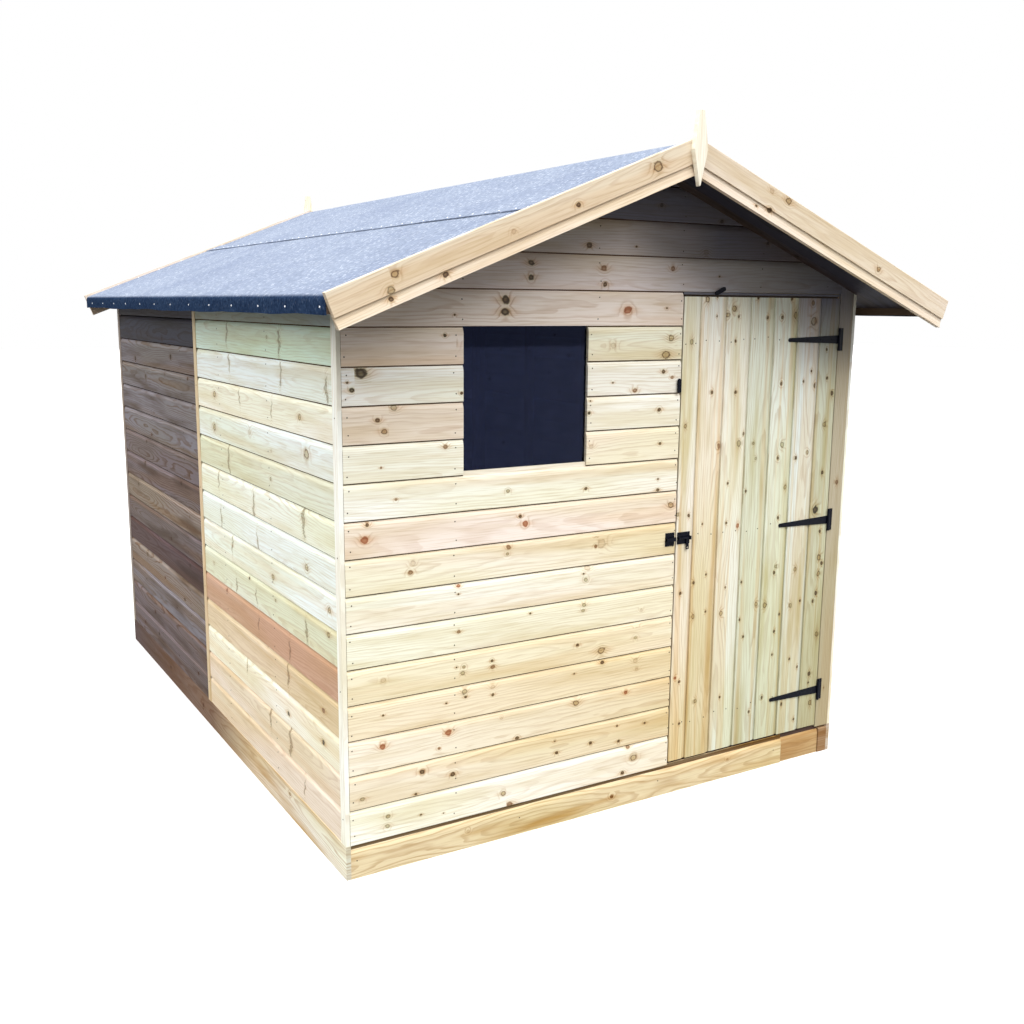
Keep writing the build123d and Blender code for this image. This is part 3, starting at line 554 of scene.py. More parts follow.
class Pieces:
    """Boards gathered into one mesh object, each with its grain, tone and knots.

    dark_joints is how dark the joints are, up to 1, their rabbets painted dark partly as shade, and the
    scoop's painted highlight is how much lighter a scoop is painted than a face.
    """

    def __init__(self, dark_joints=0.9, painted_scoop_highlight=1.0):
        self.dark_joints = dark_joints
        self.painted_scoop_highlight = painted_scoop_highlight
        self.mesh = bmesh.new()
        self.grain = self.mesh.verts.layers.float_vector.new("grain")
        self.tone = self.mesh.verts.layers.float_color.new("tone")
        self.knot = self.mesh.faces.layers.float_vector.new("knot")
        self.look = self.mesh.faces.layers.float_vector.new("knot_look")
        self.joint = self.mesh.faces.layers.float.new("joint")

    def board(
        self, profile, place, length, tone, knots=None, trims=(), often=2.4, soften=0, bare=()
    ):
        """Adds a board of a profile, (across, out), laid at a place.

        Where knots is None they come at random, as many a metre as often says. trims are (point, normal)
        planes whose outer side is sawn off, soften takes off the edges, and bare is the stretch where no
        other board covers its top.
        """
        one = bmesh.new()
        face = one.faces.new([one.verts.new((0, y, z)) for y, z in profile])
        ends = moved_verts(bmesh.ops.extrude_face_region(one, geom=[face]))
        bmesh.ops.translate(one, verts=ends, vec=(length, 0, 0))
        if knots is None:
            knots = random_knots(length, max(y for y, z in profile), often)
        back = place.inverted()
        for point, normal in trims:
            saw(one, back @ Vector(point), back.to_3x3() @ Vector(normal), clear=True)
            open_edges = [e for e in one.edges if e.is_boundary]
            if open_edges:
                bmesh.ops.holes_fill(one, edges=open_edges, sides=0)
        if soften:
            edges = [e for e in one.edges if e.calc_face_angle(0) > 0.3]
            bmesh.ops.bevel(
                one, geom=edges, offset=soften, segments=1, affect="EDGES", profile=0.5, material=-1
            )
        self.part(one, knots)
        stops = TONE_STOPS[len(tone.split("/"))][1:-1]
        for x in (*bare, *(length * stop for stop in stops)):
            saw(one, (x, 0, 0), (1, 0, 0))
        bmesh.ops.recalc_face_normals(one, faces=one.faces[:])
        self.copy(one, place, tone, knots, bare or (0, 0))
        one.free()

    def part(self, one, knots):
        """Cuts a board between its knots, so that every face has one nearest knot."""
        start = 0
        for index in range(1, len(knots) + 1):
            left = knots[index - 1]
            if index < len(knots) and knots[index][0].x - left[0].x < NEAR_KNOTS:
                continue
            group = knots[start:index]
            start = index
            if index < len(knots):
                cut(one, left, knots[index], along=True)
            low = group[0][0].x - 2 * NEAR_KNOTS
            high = group[-1][0].x + 2 * NEAR_KNOTS
            group = sorted(group, key=lambda knot: knot[0].y)
            for lower, upper in zip(group, group[1:]):
                cut(one, lower, upper, low, high)

    def copy(self, one, place, tone, knots, bare):
        """Copies a board into the piece, with its own grain, lightness and lean of the rings."""
        offset = rng.uniform(0, GRAIN_APART)
        light = rng.uniform(0.975, 1.015)
        chance = rng.random()
        length = max(vert.co.x for vert in one.verts)
        twin = {}
        for vert in one.verts:
            new = self.mesh.verts.new(place @ vert.co)
            new[self.grain] = vert.co + Vector((offset, 0, offset))
            share = min(max(vert.co.x / length, 0), 1)
            # a scoop that faces the sky is painted paler, a painted highlight
            scooped = -SCOOP_DEPTH < vert.co.z < -0.0005 and vert.co.y > SCOOP_HEIGHT
            pale = light * (self.painted_scoop_highlight if scooped else 1.0)
            new[self.tone] = [c * pale for c in tone_at(tone, share)] + [chance]
            twin[vert] = new
        for face in one.faces:
            new = self.mesh.faces.new([twin[v] for v in face.verts])
            middle = face.calc_center_median()
            # rabbet faces get the dark joint, partly painted shade under the lip
            if abs(middle.z + SCOOP_DEPTH) < 0.0001 and not bare[0] < middle.x < bare[1]:
                new[self.joint] = self.dark_joints
            elif abs(face.normal.x) > 0.9:
                new[self.joint] = END_GRAIN
            new[self.knot] = (offset, 0, 0.00001)
            if knots:
                spot, radius, kind = min(knots, key=lambda knot: (knot[0] - middle.xy).length)
                new[self.knot] = (spot.x + offset, spot.y, radius)
                new[self.look] = KNOTS[kind]

    def finish(self, name, *nodes, body="shed", material=cladding, slot="cladding_timber"):
        """Makes the mesh object, which rides on its body and stands for its CAD nodes."""
        dress(mesh_data(name, self.mesh), body, material, nodes)


def cut(one, first, second, low=None, high=None, along=False):
    """Cuts a board between two knots, by their radii; low and high keep the cut to a stretch of it."""
    way = second[0] - first[0]
    middle = first[0] + way * first[1] / (first[1] + second[1])
    faces = one.faces[:]
    if low is not None:
        faces = [f for f in faces if low < f.calc_center_median().x < high]
    geom = list({v for f in faces for v in f.verts}) + list({e for f in faces for e in f.edges}) + faces
    normal = (1, 0, 0) if along else (way.x, way.y, 0)
    saw(one, (middle.x, middle.y, 0), normal, geom)


def dress(data, body, material, nodes=()):
    """Links a mesh to the scene with its material, body and the nodes it stands for."""
    piece = bpy.data.objects.new(data.name, data)
    bpy.context.scene.collection.objects.link(piece)
    data.materials.append(material)
    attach(piece, body)
    if nodes:
        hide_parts(*nodes)


rng = random.Random(11)


def clad(
    pieces, corner, along, length, height, tones,
    trims=(), first_plain=False, knots=(), ragged=0.0, bare=(),
):
    """Boards one above another, from the corner up; tones and knots go from the bottom up.

    first_plain gives the lowest board no rabbet, ragged is how far the ends stand back at random, and bare
    is the stretch of the top board that no board covers.
    """
    rise = 0.0
    row = 0
    while rise < height - HAIR:
        rest = height - rise
        last = rest < COVER + LAST_BOARD_SPARE and abs(rest - COVER) > 0.0005
        size = rest if last else COVER
        profile = shiplap(size, first=first_plain and row == 0, last=last)
        own = read_knots(knots[row]) if row < len(knots) else None
        run = length - rng.uniform(0, ragged)
        top = rise + size > height - HAIR
        place = lay(corner + UP * rise, along, UP)
        pieces.board(profile, place, run, tones[row % len(tones)], own, trims, bare=bare if top else ())
        rise += size
        row += 1


roof_trims = [
    ((0, 0, DECK_UNDER_Z), (math.sin(SLOPE), 0, math.cos(SLOPE))),
    ((0, 0, DECK_UNDER_Z), (-math.sin(SLOPE), 0, math.cos(SLOPE))),
]

# Front wall. The knots are where the photograph shows them, from the left end and the foot of each board
FRONT_RAGGED = 0.0012
door_edge = front_hi.x
window_x0, window_x1 = glass_lo.x + GLASS_LAP, glass_hi.x - GLASS_LAP
sill_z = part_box("front_boards_beside_window")[0].z
lintel_z = over_lo.z
head_z = over_hi.z
END_GAP = 0.0015
corner = Vector((front_lo.x + END_GAP, FACE_Y, CLAD_Z))

UNDER_WINDOW_KNOTS = """
    130 70 6 green, 127 37 6 green, 246 47 3, 328 33 2, 555 50 7 ring, 582 4 9 brown, 1104 62 10 ring,
        1056 14 6, 1080 108 6 brown;
    43 33 6 green, 228 8 4, 252 79 7, 363 47 7, 761 80 3, 769 36 5, 913 42 5, 1026 84 3, 1035 24 5,
        1150 71 4;
    114 79 8 red, 313 31 4 brown, 347 80 9 red, 547 90 4 faint, 608 8 5, 847 88 9 ring, 1061 88 6 red;
    117 66 3, 340 65 3, 407 92 7 green, 411 74 4, 512 90 7 faint, 513 64 4, 837 81 3, 955 102 6,
        1100 85 8 faint, 1107 52 6 faint;
    120 65 6 faint, 377 65 3, 404 62 5 green, 400 42 6 green, 509 66 4, 512 45 6 brown, 848 67 5,
        856 42 7 brown, 950 32 11 ring, 1100 85 8 faint, 1097 56 5 green;
    385 68 5 brown, 395 92 7 brown, 655 92 3, 872 92 6 green, 868 72 5 green, 1120 40 5 faint;
    384 78 3, 385 105 5 red, 868 87 3, 878 65 6 green, 885 105 9 faint;
    216 54 6 brown, 226 82 7 faint, 565 75 5 green, 569 97 6 brown, 916 64 5 brown, 916 90 7 faint,
        940 70 14 faint;
    65 57 10 red, 75 103 5, 612 80 5, 632 54 8 red, 1237 64 9 ring, 1252 34 9 red;
    170 58 4 brown, 565 53 5 green, 870 37 5, 1175 46 3, 1176 8 5
""".split(";")
LEFT_OF_WINDOW_KNOTS = """
    122 43 3 brown, 339 94 6 brown;
    113 71 6, 134 37 7 ring, 167 105 8 green;
    18 70 3, 32 47 6 black, 62 96 14 black, 396 27 4;
    339 89 4 black, 364 61 9 green, 392 12 9 black
""".split(";")
RIGHT_OF_WINDOW_KNOTS = """
    20 63 7 faint, 310 56 4;
    8 61 5 black, 13 100 3, 303 60 6, 317 83 8 red, 302 12 8 green;
    102 43 3, 194 14 7 brown, 316 75 6, 355 55 5 brown;
    323 18 12 ring, 345 75 9 ring, 100 51 9 faint
""".split(";")
OVER_WINDOW_KNOTS = ["372 36 3, 550 82 11 black, 550 45 11 black, 1025 52 12 red, 1025 24 9 red, 1190 60 4"]

pieces = Pieces()
low_tones = (
    "ivory/straw straw/wheat straw/wheat honey/wheat straw "
    "ivory/straw ivory/straw cream/honey rose ivory/cream"
).split()
clad(
    pieces, corner, RIGHT, door_edge - corner.x, sill_z - CLAD_Z, low_tones,
    first_plain=True, knots=UNDER_WINDOW_KNOTS, ragged=FRONT_RAGGED,
    bare=(window_x0 - front_lo.x, window_x1 - front_lo.x),
)
pieces.finish("front_boards_under_window", "front_boards_below_window")

pieces = Pieces()
left_start = corner + UP * (sill_z - CLAD_Z)
window_rise = lintel_z - sill_z
left_tones = ["white", "tan", "white", "rose"]
clad(pieces, left_start, RIGHT, window_x0 - corner.x, window_rise, left_tones, knots=LEFT_OF_WINDOW_KNOTS)
start = Vector((window_x1, FACE_Y, sill_z))
right_tones = ["straw", "cream", "cream", "ivory"]
clad(
    pieces, start, RIGHT, door_edge - window_x1, window_rise, right_tones,
    knots=RIGHT_OF_WINDOW_KNOTS, ragged=FRONT_RAGGED,
)
pieces.finish("front_boards_by_window", "front_boards_beside_window")

pieces = Pieces()
start = Vector((corner.x, FACE_Y, lintel_z))
clad(pieces, start, RIGHT, door_edge - corner.x, head_z - lintel_z, ["rose"], knots=OVER_WINDOW_KNOTS)
pieces.finish("front_board_above_window", "front_board_over_window")

GABLE_KNOTS = """
    372 60 3, 645 82 8 black, 645 38 8 black, 925 72 9 brown, 931 20 7, 1212 77 7 brown, 1420 55 3;
    865 70 6, 865 28 8, 1055 30 3, 1355 20 8 faint, 1640 60 5;
    1155 52 6, 1420 12 5
""".split(";")
pieces = Pieces()
start = Vector((gable_lo.x, FACE_Y, head_z))
# the gable's boards are painted darker towards the right and the top: painted shade under the roof's
# overhang
gable_tones = ["dove/dove/grey/slate", "grey/dove/slate/shaded", "slate", "slate"]
clad(
    pieces, start, RIGHT, gable_hi.x - gable_lo.x, RIDGE_Z - head_z, gable_tones,
    trims=roof_trims, knots=GABLE_KNOTS,
)
pieces.finish("front_gable_boards", "front_gable")

# A fillet under the gable's lowest board closes most of the gap over the door, which swings 7 mm below it
FILLET = 0.008
pieces = Pieces()
place = lay(Vector((door_edge + 0.002, FACE_Y + 0.001, head_z - FILLET)), RIGHT, UP)
# its dark tone is painted shade in the gap over the door
pieces.board(planed(FILLET, BOARD - 0.002, 0.001), place, door_hi.x - door_edge - 0.004, "slate", [])
pieces.finish("door_head_fillet")

pieces = Pieces()
post_lo, post_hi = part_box("hinge_post")
place = lay(Vector((post_lo.x, FACE_Y, post_hi.z)), -UP, RIGHT)
post_width = post_hi.x - post_lo.x
# the post's top is painted dark as the shade under the eaves
pieces.board(planed(post_width, BOARD), place, post_hi.z - post_lo.z, "slate/drift/drift", None, roof_trims)
pieces.finish("hinge_post_board", "hinge_post")

# Side walls, from the front corner back
# the near panel's top board is painted dark as the shade under the eaves
NEAR_TONES = (
    "tan tan cream biscuit umber sage frost frost mint sage frost ivory frost fern lichen"
).split()
# the rear panel's boards are dark, and its top two are painted near black as the shade under the eaves
FAR_TONES = (
    "peat peat thunder clay loam peat clay peat peat thunder thunder thunder thunder pitch pitch"
).split()
RIGHT_TONES = (
    "straw honey cream straw rose cream straw honey straw cream tan straw cream honey straw"
).split()
NEAR_KNOT_ROWS = """
    1141 54 4 spike;
    804 85 7 spike, 1012 55 8 spike;
    538 83 4 spike, 1000 43 8 black, 1329 54 8 black;
    237 154 5 brown, 785 116 6 faint, 1012 70 6 spike, 1336 50 8 brown;
    312 98 6 brown, 702 62 4 spike, 1030 50 5 spike;
    144 58 8 faint, 448 33 4 spike, 608 96 5 black, 690 46 4 spike, 900 81 5 green, 1200 44 6 spike,
        1394 88 8 ring;
    410 69 5 spike, 881 45 9 ring, 1407 54 9 ring;
    277 41 5 spike, 723 28 5 spike, 1215 35 10 ring;
    261 71 5 spike, 690 29 8 spike, 1199 72 9 spike;
    407 54 8 spike, 888 47 6 green;
    231 47 12 ring, 675 73 10 faint, 903 31 5 faint, 1242 61 14 ring;
    250 62 11 ring, 566 71 4 spike, 921 57 4 spike, 1188 57 9 ring;
    -8 66 4 spike, 452 80 5 spike, 1021 62 6 spike, 1422 41 6 spike;
    -10 27 5 spike, 437 67 6 spike, 893 69 5 green, 1016 57 7 spike
""".split(";")
for side, along in (("left", -BACK), ("right", BACK)):
    for panel in ("front", "rear"):
        node = f"{side}_wall_{panel}_panel"
        lo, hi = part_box(node)
        x = lo.x if side == "left" else hi.x
        y = hi.y if side == "left" else lo.y
        tones = RIGHT_TONES if side == "right" else NEAR_TONES if panel == "front" else FAR_TONES
        knots = NEAR_KNOT_ROWS if side == "left" and panel == "front" else ()
        # the planed scoop at the top of each board is painted paler, a painted highlight where it faces the
        # sky, most on the dark boards
        dark_rear_panel = side == "left" and panel == "rear"
        pieces = Pieces(dark_joints=1.0, painted_scoop_highlight=1.5 if dark_rear_panel else 1.14)
        start = Vector((x, y, lo.z))
        clad(pieces, start, along, hi.y - lo.y, hi.z - lo.z, tones, first_plain=True, knots=knots)
        pieces.finish(node + "_boards", node, material=dull_figured_wood if dark_rear_panel else cladding)

pieces = Pieces()
start = Vector((rear_hi.x, BACK_Y, CLAD_Z))
rear_width = rear_hi.x - rear_lo.x
clad(
    pieces, start, -RIGHT, rear_width, RIDGE_Z - CLAD_Z, RIGHT_TONES,
    trims=roof_trims, first_plain=True,
)
pieces.finish("rear_wall_boards", "rear_wall")

# Cover strips at the corners and over the joint of each side
STRIP = 0.040
PROUD = 0.002
joint_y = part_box("left_wall_front_panel")[1].y
strip_lo, strip_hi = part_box("cover_strips")
pieces = Pieces()
strips = (
    (FACE_Y, BOARD + PROUD, "ivory"),
    (joint_y - STRIP / 2, PROUD, "biscuit"),
    (BACK_Y - STRIP, BOARD + PROUD, "cream"),
)
for side in (-1, 1):
    for y, thickness, tone in strips:
        start = Vector((side * strip_hi.x, y + STRIP if side < 0 else y, strip_hi.z))
        place = lay(start, -UP, -BACK if side < 0 else BACK)
        section = planed(STRIP, thickness, min(ARRIS, thickness / 2))
        dull = side < 0 and y > joint_y
        pieces.board(section, place, strip_hi.z - strip_lo.z, "clay" if dull else tone, [])
pieces.finish("corner_and_joint_strips", "cover_strips")

# Plinths
PLINTH_BACK = 0.010
long_lo, long_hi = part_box("front_plinth")
plinth_cover = COVER - 0.001
section = shiplap(plinth_cover - TONGUE, first=True)
# the plinth's top rabbet, under the cladding, is painted dark, partly dirt and partly painted shade
pieces = Pieces(dark_joints=0.8)
place = lay(Vector((long_lo.x, long_lo.y, 0)), RIGHT, UP)
knots = read_knots("420 60 5 faint, 1010 45 6 brown, 1560 70 5 faint")
pieces.board(section, place, long_hi.x - long_lo.x, "wheat", knots)
pieces.finish("front_plinth_board", "front_plinth", material=plinth_wood, slot="plinth_timber")

pieces = Pieces()
for side in (-1, 1):
    start = Vector((side * plinth_hi.x, BACK_Y if side < 0 else FACE_Y, 0))
    place = lay(start, -BACK if side < 0 else BACK, UP)
    tone = "loam/russet/biscuit/ivory" if side < 0 else "tan"
    pieces.board(planed(plinth_hi.z, 0.016), place, BACK_Y - FACE_Y, tone)
pieces.finish("side_plinth_boards", "side_plinths", material=plinth_wood, slot="plinth_timber")

pieces = Pieces()
back_lo, back_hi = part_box("rear_plinth")
place = lay(Vector((back_hi.x, BACK_Y, 0)), -RIGHT, UP)
pieces.board(section, place, back_hi.x - back_lo.x, "straw")
pieces.finish("rear_plinth_board", "rear_plinth", material=plinth_wood, slot="plinth_timber")

# Door. The knots are given across and up from the left foot of the front wall, as those of the wall are
DOOR_KNOTS = """
    1296 654 5, 1306 316 4, 1286 334 5 red, 1314 152 4, 1307 1556 7 green, 1292 1262 6 ring, 1322 939 5,
        1272 947 6 green;
    1357 686 5, 1360 558 7 ring, 1419 568 4, 1387 226 6 green, 1415 710 4, 1415 1712 4,
        1371 1701 8 ring, 1416 1643 3, 1407 1377 5, 1452 1182 8 brown, 1387 901 3;
    1495 551 7 ring, 1520 552 4, 1511 649 3, 1507 220 4, 1518 1642 4, 1468 1648 7 ring,
        1495 1670 9 ring, 1507 1556 4, 1518 1374 5, 1546 1186 9 green, 1568 1220 5, 1500 1042 4,
        1502 894 4, 1559 879 7 red;
    1590 659 4, 1590 513 4, 1671 563 7 ring, 1612 443 4, 1660 133 4, 1657 1639 5, 1606 1709 5,
        1590 1006 4, 1618 1182 5 green, 1632 1125 5 green;
    1715 554 8 ring, 1763 700 6 green, 1756 677 5, 1772 441 5, 1767 347 4, 1795 506 4, 1725 180 5,
        1729 1639 6, 1772 1707 5, 1796 1648 10 ring, 1741 1399 5, 1762 1170 8 green, 1744 1120 5,
        1790 1006 7 ring, 1761 890 5;
    1866 677 7 ring, 1851 534 7 green, 1902 546 4, 1862 314 4, 1907 274 4, 1832 132 5, 1904 56 4,
        1881 1692 7 ring, 1890 1626 12 ring, 1892 1441 4, 1854 1403 4, 1896 1132 6 green, 1836 1115 5,
        1915 1386 6;
    1988 816 5, 1993 710 9 ring, 2008 685 6, 1993 644 8 ring, 1987 566 7, 1972 535 5, 2005 396 8 ring,
        1977 235 7, 1974 197 4, 1990 110 8 ring, 1966 1520 4, 1976 1412 5, 1977 1236 8 ring,
        1981 1048 6, 1956 904 12 black, 2008 1354 7
""".split(";")
# the tops of the two right boards are painted dark as the shade under the eaves
DOOR_TONES = (
    "white/white/wheat ivory/straw/reed ivory/cream/sage mint/sage/lint "
    "mint/mint/lint grey/frost/lint slate/lint/olive"
).split()
DOOR_RAGGED = 0.003
pieces = Pieces(dark_joints=0.27)
width = door_hi.x - door_lo.x
height = door_hi.z - door_lo.z
across = 0.0
for row, tone in enumerate(DOOR_TONES):
    last = row == len(DOOR_TONES) - 1
    size = width - across if last else DOOR_COVER if row else DOOR_FIRST_BOARD
    edge = door_lo.x + across
    knots = []
    for spot, radius, kind in read_knots(DOOR_KNOTS[row]):
        place = Vector((door_hi.z - CLAD_Z - spot.y, front_lo.x + spot.x - edge))
        knots.append((place, radius, kind))
    knots.sort(key=lambda knot: knot[0].x)
    section = shiplap(size, first=row == 0, last=last)
    place = lay(Vector((edge, FACE_Y, door_hi.z)), -UP, RIGHT)
    pieces.board(section, place, height - rng.uniform(0, DOOR_RAGGED), tone, knots)
    across += size
pieces.finish("door_upright_boards", "door_boards", body="door", material=door_wood, slot="door_timber")

# Bargeboards: a concave mould along the foot, and a flat face above it
BARGE_KNOTS = {
    (-1, -1): (
        "176 43 9 green, 169 20 6, 202 77 9 ring, 345 23 7, 586 58 6 faint, 818 56 6, 1127 67 13 ring"
    ),
    (-1, 1): "408 20 4, 445 88 8 faint, 463 30 7, 525 88 9 ring, 1010 60 7 ring",
}
barge_length = math.hypot(HALF_ROOF, RIDGE_Z - board_lo.z - BARGE_HEIGHT * math.cos(SLOPE))
moulding = [
    (0, -PLANED),
    (0, 0),
    (BARGE_SCOOP * 0.33, -SCOOP_DEPTH * 0.44),
    (BARGE_SCOOP * 0.66, -SCOOP_DEPTH * 0.86),
    (BARGE_SCOOP, -SCOOP_DEPTH + 0.0003),
    (BARGE_SCOOP + 0.0003, 0),
    (BARGE_HEIGHT - ARRIS, 0),
    (BARGE_HEIGHT, -ARRIS),
    (BARGE_HEIGHT, -PLANED),
]
for name, node, out in (
    ("front_gable_bargeboards", "front_bargeboards", -1),
    ("rear_gable_bargeboards", "rear_bargeboards", 1),
):
    lo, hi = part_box(node)
    y = lo.y if out < 0 else hi.y
    pieces = Pieces()
    for side in (-1, 1):
        down = Vector((side * math.cos(SLOPE), 0, -math.sin(SLOPE)))
        square = Vector((side * math.sin(SLOPE), 0, math.cos(SLOPE)))
        foot = Vector((0, y, RIDGE_Z)) - square * BARGE_HEIGHT
        if side == out:
            start, along = foot + down * barge_length, -down
        else:
            start, along = foot - down * BARGE_HEIGHT, down
        trim = [((side * HALF_RIDGE_GAP, 0, 0), (-side, 0, 0))]
        own = BARGE_KNOTS.get((out, side))
        knots = read_knots(own) if own else None
        pieces.board(moulding, lay(start, along, square), barge_length + BARGE_HEIGHT, "fawn", knots, trim)
    pieces.finish(name, node, material=barge_wood, slot="bargeboard_timber")

# Finials: pointed at the foot, tapered above
FINIAL_HALF = 0.026
FINIAL_POINT = 0.107
FINIAL_TOP_HALF = 0.011
FINIAL_NOSE_HALF = 0.0025
finial_lo, finial_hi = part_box("finials")
finial_height = finial_hi.z - finial_lo.z
section = [(0, -PLANED), (0, 0), (2 * FINIAL_HALF, 0), (2 * FINIAL_HALF, -PLANED)]
pieces = Pieces()
for out in (-1, 1):
    y = finial_lo.y if out < 0 else finial_hi.y
    place = lay(Vector((-out * FINIAL_HALF, y, finial_lo.z)), UP, RIGHT * out)
    trims = []
    for side in (-1, 1):
        widest = (side * FINIAL_HALF, y, finial_lo.z + FINIAL_POINT)
        lower = Vector((side * FINIAL_POINT, 0, FINIAL_NOSE_HALF - FINIAL_HALF))
        upper = Vector((side * (finial_height - FINIAL_POINT), 0, FINIAL_HALF - FINIAL_TOP_HALF))
        trims += [(widest, lower), (widest, upper)]
    pieces.board(section, place, finial_height, "cream", [], trims, soften=0.002)
pieces.finish("pointed_finials", "finials", material=barge_wood, slot="bargeboard_timber")

# Roof boards, which run down the slope and show their joints underneath
ROOF_BOARD_COUNT = 28
ROOF_BOARD_SPARE = 0.02
roof_cover = (deck_hi.y - deck_lo.y) / ROOF_BOARD_COUNT
section = planed(roof_cover - SAW_CUT, DECK_THICKNESS, arris=0.002)
for name, side in (("right", 1), ("left", -1)):
    pieces = Pieces()
    down = Vector((side * math.cos(SLOPE), 0, -math.sin(SLOPE)))
    trims = [
        ((side * HALF_RIDGE_GAP, 0, 0), (-side, 0, 0)),
        ((side * deck_hi.x, 0, 0), (side, 0, 0)),
    ]
    run = deck_hi.x / math.cos(SLOPE) + 2 * ROOF_BOARD_SPARE
    for row in range(ROOF_BOARD_COUNT):
        # laid face down, so that the eased joints show from inside and under the eaves
        y = deck_lo.y + row * roof_cover if side > 0 else deck_hi.y - row * roof_cover
        start = Vector((0, y, DECK_UNDER_Z)) - down * ROOF_BOARD_SPARE
        place = lay(start, down, Vector((0, side, 0)))
        # the roof boards are painted dark, darker towards the eaves and near black where they overhang the
        # front: painted shade under the roof
        tone = "pitch" if y < FACE_Y - roof_cover / 2 else rng.choice(["dusk/pitch", "walnut/pitch"])
        pieces.board(section, place, run, tone, None, trims, often=1.2)
    names = name + "_roof_boards", name + "_roof_deck"
    pieces.finish(*names, material=dull_figured_wood, slot="roof_and_floor_boards")

# Floor boards
FLOOR_BOARD = 0.012
ground_lo, ground_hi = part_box("floor_boards")
pieces = Pieces()
rise = 0.0
while rise < ground_hi.y - ground_lo.y - HAIR:
    size = min(COVER, ground_hi.y - ground_lo.y - rise)
    place = lay(Vector((ground_lo.x, ground_lo.y + rise, ground_hi.z)), RIGHT, BACK)
    tone = rng.choice(["straw", "tan", "honey"])
    pieces.board(planed(size - SAW_CUT, FLOOR_BOARD), place, ground_hi.x - ground_lo.x, tone)
    rise += size
pieces.finish("tongued_floor_boards", "floor_boards", material=floor_wood, slot="roof_and_floor_boards")

# Sill under the doorway: a bearer, a short board in front of it and a block at the corner
BEARER = 0.045
sill_lo, sill_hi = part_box("front_sill_bearer")
block_x = sill_hi.x - BEARER
under_floor = ground_lo.z
behind = FACE_Y + BOARD
pieces = Pieces()
# the bearer, seen in the gap under the door, is painted dark as the shade there
place = lay(Vector((sill_lo.x, behind, 0)), RIGHT, UP)
pieces.board(planed(sill_hi.z, sill_hi.y - behind), place, block_x - sill_lo.x, "walnut", [])
section = shiplap(under_floor, first=True)[:6] + [(under_floor, -BOARD)]
place = lay(Vector((long_hi.x, FACE_Y + PLINTH_BACK / 2, 0)), RIGHT, UP)
pieces.board(section, place, block_x - long_hi.x, "amber", [])
place = lay(Vector((block_x, FACE_Y, 0)), RIGHT, UP)
pieces.board(planed(under_floor, sill_hi.y - FACE_Y), place, BEARER, "bark", [])
pieces.finish("door_sill_boards", "front_sill_bearer", material=plinth_wood, slot="plinth_timber")

# Felt: two eaves sheets that turn down over the edge, and a ridge sheet lapped over both
FELT_STEPS = 96
FELT_BEND = 0.014
# How much of the ridge sheet lies on each eaves sheet
ON_EAVES = 0.085
# How far the sheets ripple, the turned-down edge waves and the free edges sway
FELT_RIPPLE = 0.0012
FOOT_WAVE = 0.004
FOOT_HEIGHT = 0.012
FOOT_SWAY = 0.0015
LAP_SWAY = 0.003
eaves_lo, eaves_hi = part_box("eaves_felt")
drop_x = eaves_hi.x
lap_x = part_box("ridge_felt")[1].x


def on_slope(x, out, side=1):
    """A point over the roof boards: x from the middle, and out above their top."""
    z = deck_hi.z - abs(x) * math.tan(SLOPE) + out / math.cos(SLOPE)
    return Vector((side * x, 0, z))


def lay_felt(sheet, path):
    """Rolls a sheet out along the roof from a path across it, a little wavy, its free edges more so."""
    fresh = bmesh.new()
    row = [fresh.verts.new((p.x, deck_lo.y, p.z)) for p in path]
    edges = [fresh.edges.new(pair) for pair in zip(row, row[1:])]
    stride = (deck_hi.y - deck_lo.y) / FELT_STEPS
    for _ in range(FELT_STEPS):
        run = bmesh.ops.extrude_edge_only(fresh, edges=edges)
        moved = moved_verts(run)
        edges = [e for e in run["geom"] if isinstance(e, bmesh.types.BMEdge)]
        edges = [e for e in edges if all(v in moved for v in e.verts)]
        bmesh.ops.translate(fresh, verts=moved, vec=(0, stride, 0))
    for vert in fresh.verts:
        x, y, z = vert.co
        vert.co.z += FELT_RIPPLE * (noise.noise(Vector((x * 3, y * 2.2, 4.1))) + 0.6)
        if z < eaves_lo.z + FOOT_HEIGHT:
            vert.co.z += FOOT_WAVE * noise.noise(Vector((x, y * 5.3, 1.7))) - FOOT_WAVE
            vert.co.x += math.copysign(FOOT_SWAY, x) * noise.noise(Vector((0.3, y * 4.0, 8.2)))
        elif abs(abs(x) - lap_x) < HAIR and path[0].x < 0 < path[-1].x:
            vert.co.z += FELT_RIPPLE * noise.noise(Vector((x, y * 11.0, 2.3)))
            vert.co.x += LAP_SWAY * noise.noise(Vector((x, y * 6.0, 5.9)))
    bmesh.ops.recalc_face_normals(fresh, faces=fresh.faces[:])
    if sum(f.normal.z for f in fresh.faces) < 0:
        bmesh.ops.reverse_faces(fresh, faces=fresh.faces[:])
    bmesh.ops.solidify(fresh, geom=fresh.faces[:], thickness=FELT)
    for face in fresh.faces:
        face.smooth = True
    for edge in fresh.edges:
        edge.smooth = edge.calc_face_angle(0) < 0.7
    part = mesh_data("part", fresh)
    sheet.from_mesh(part)
    bpy.data.meshes.remove(part)


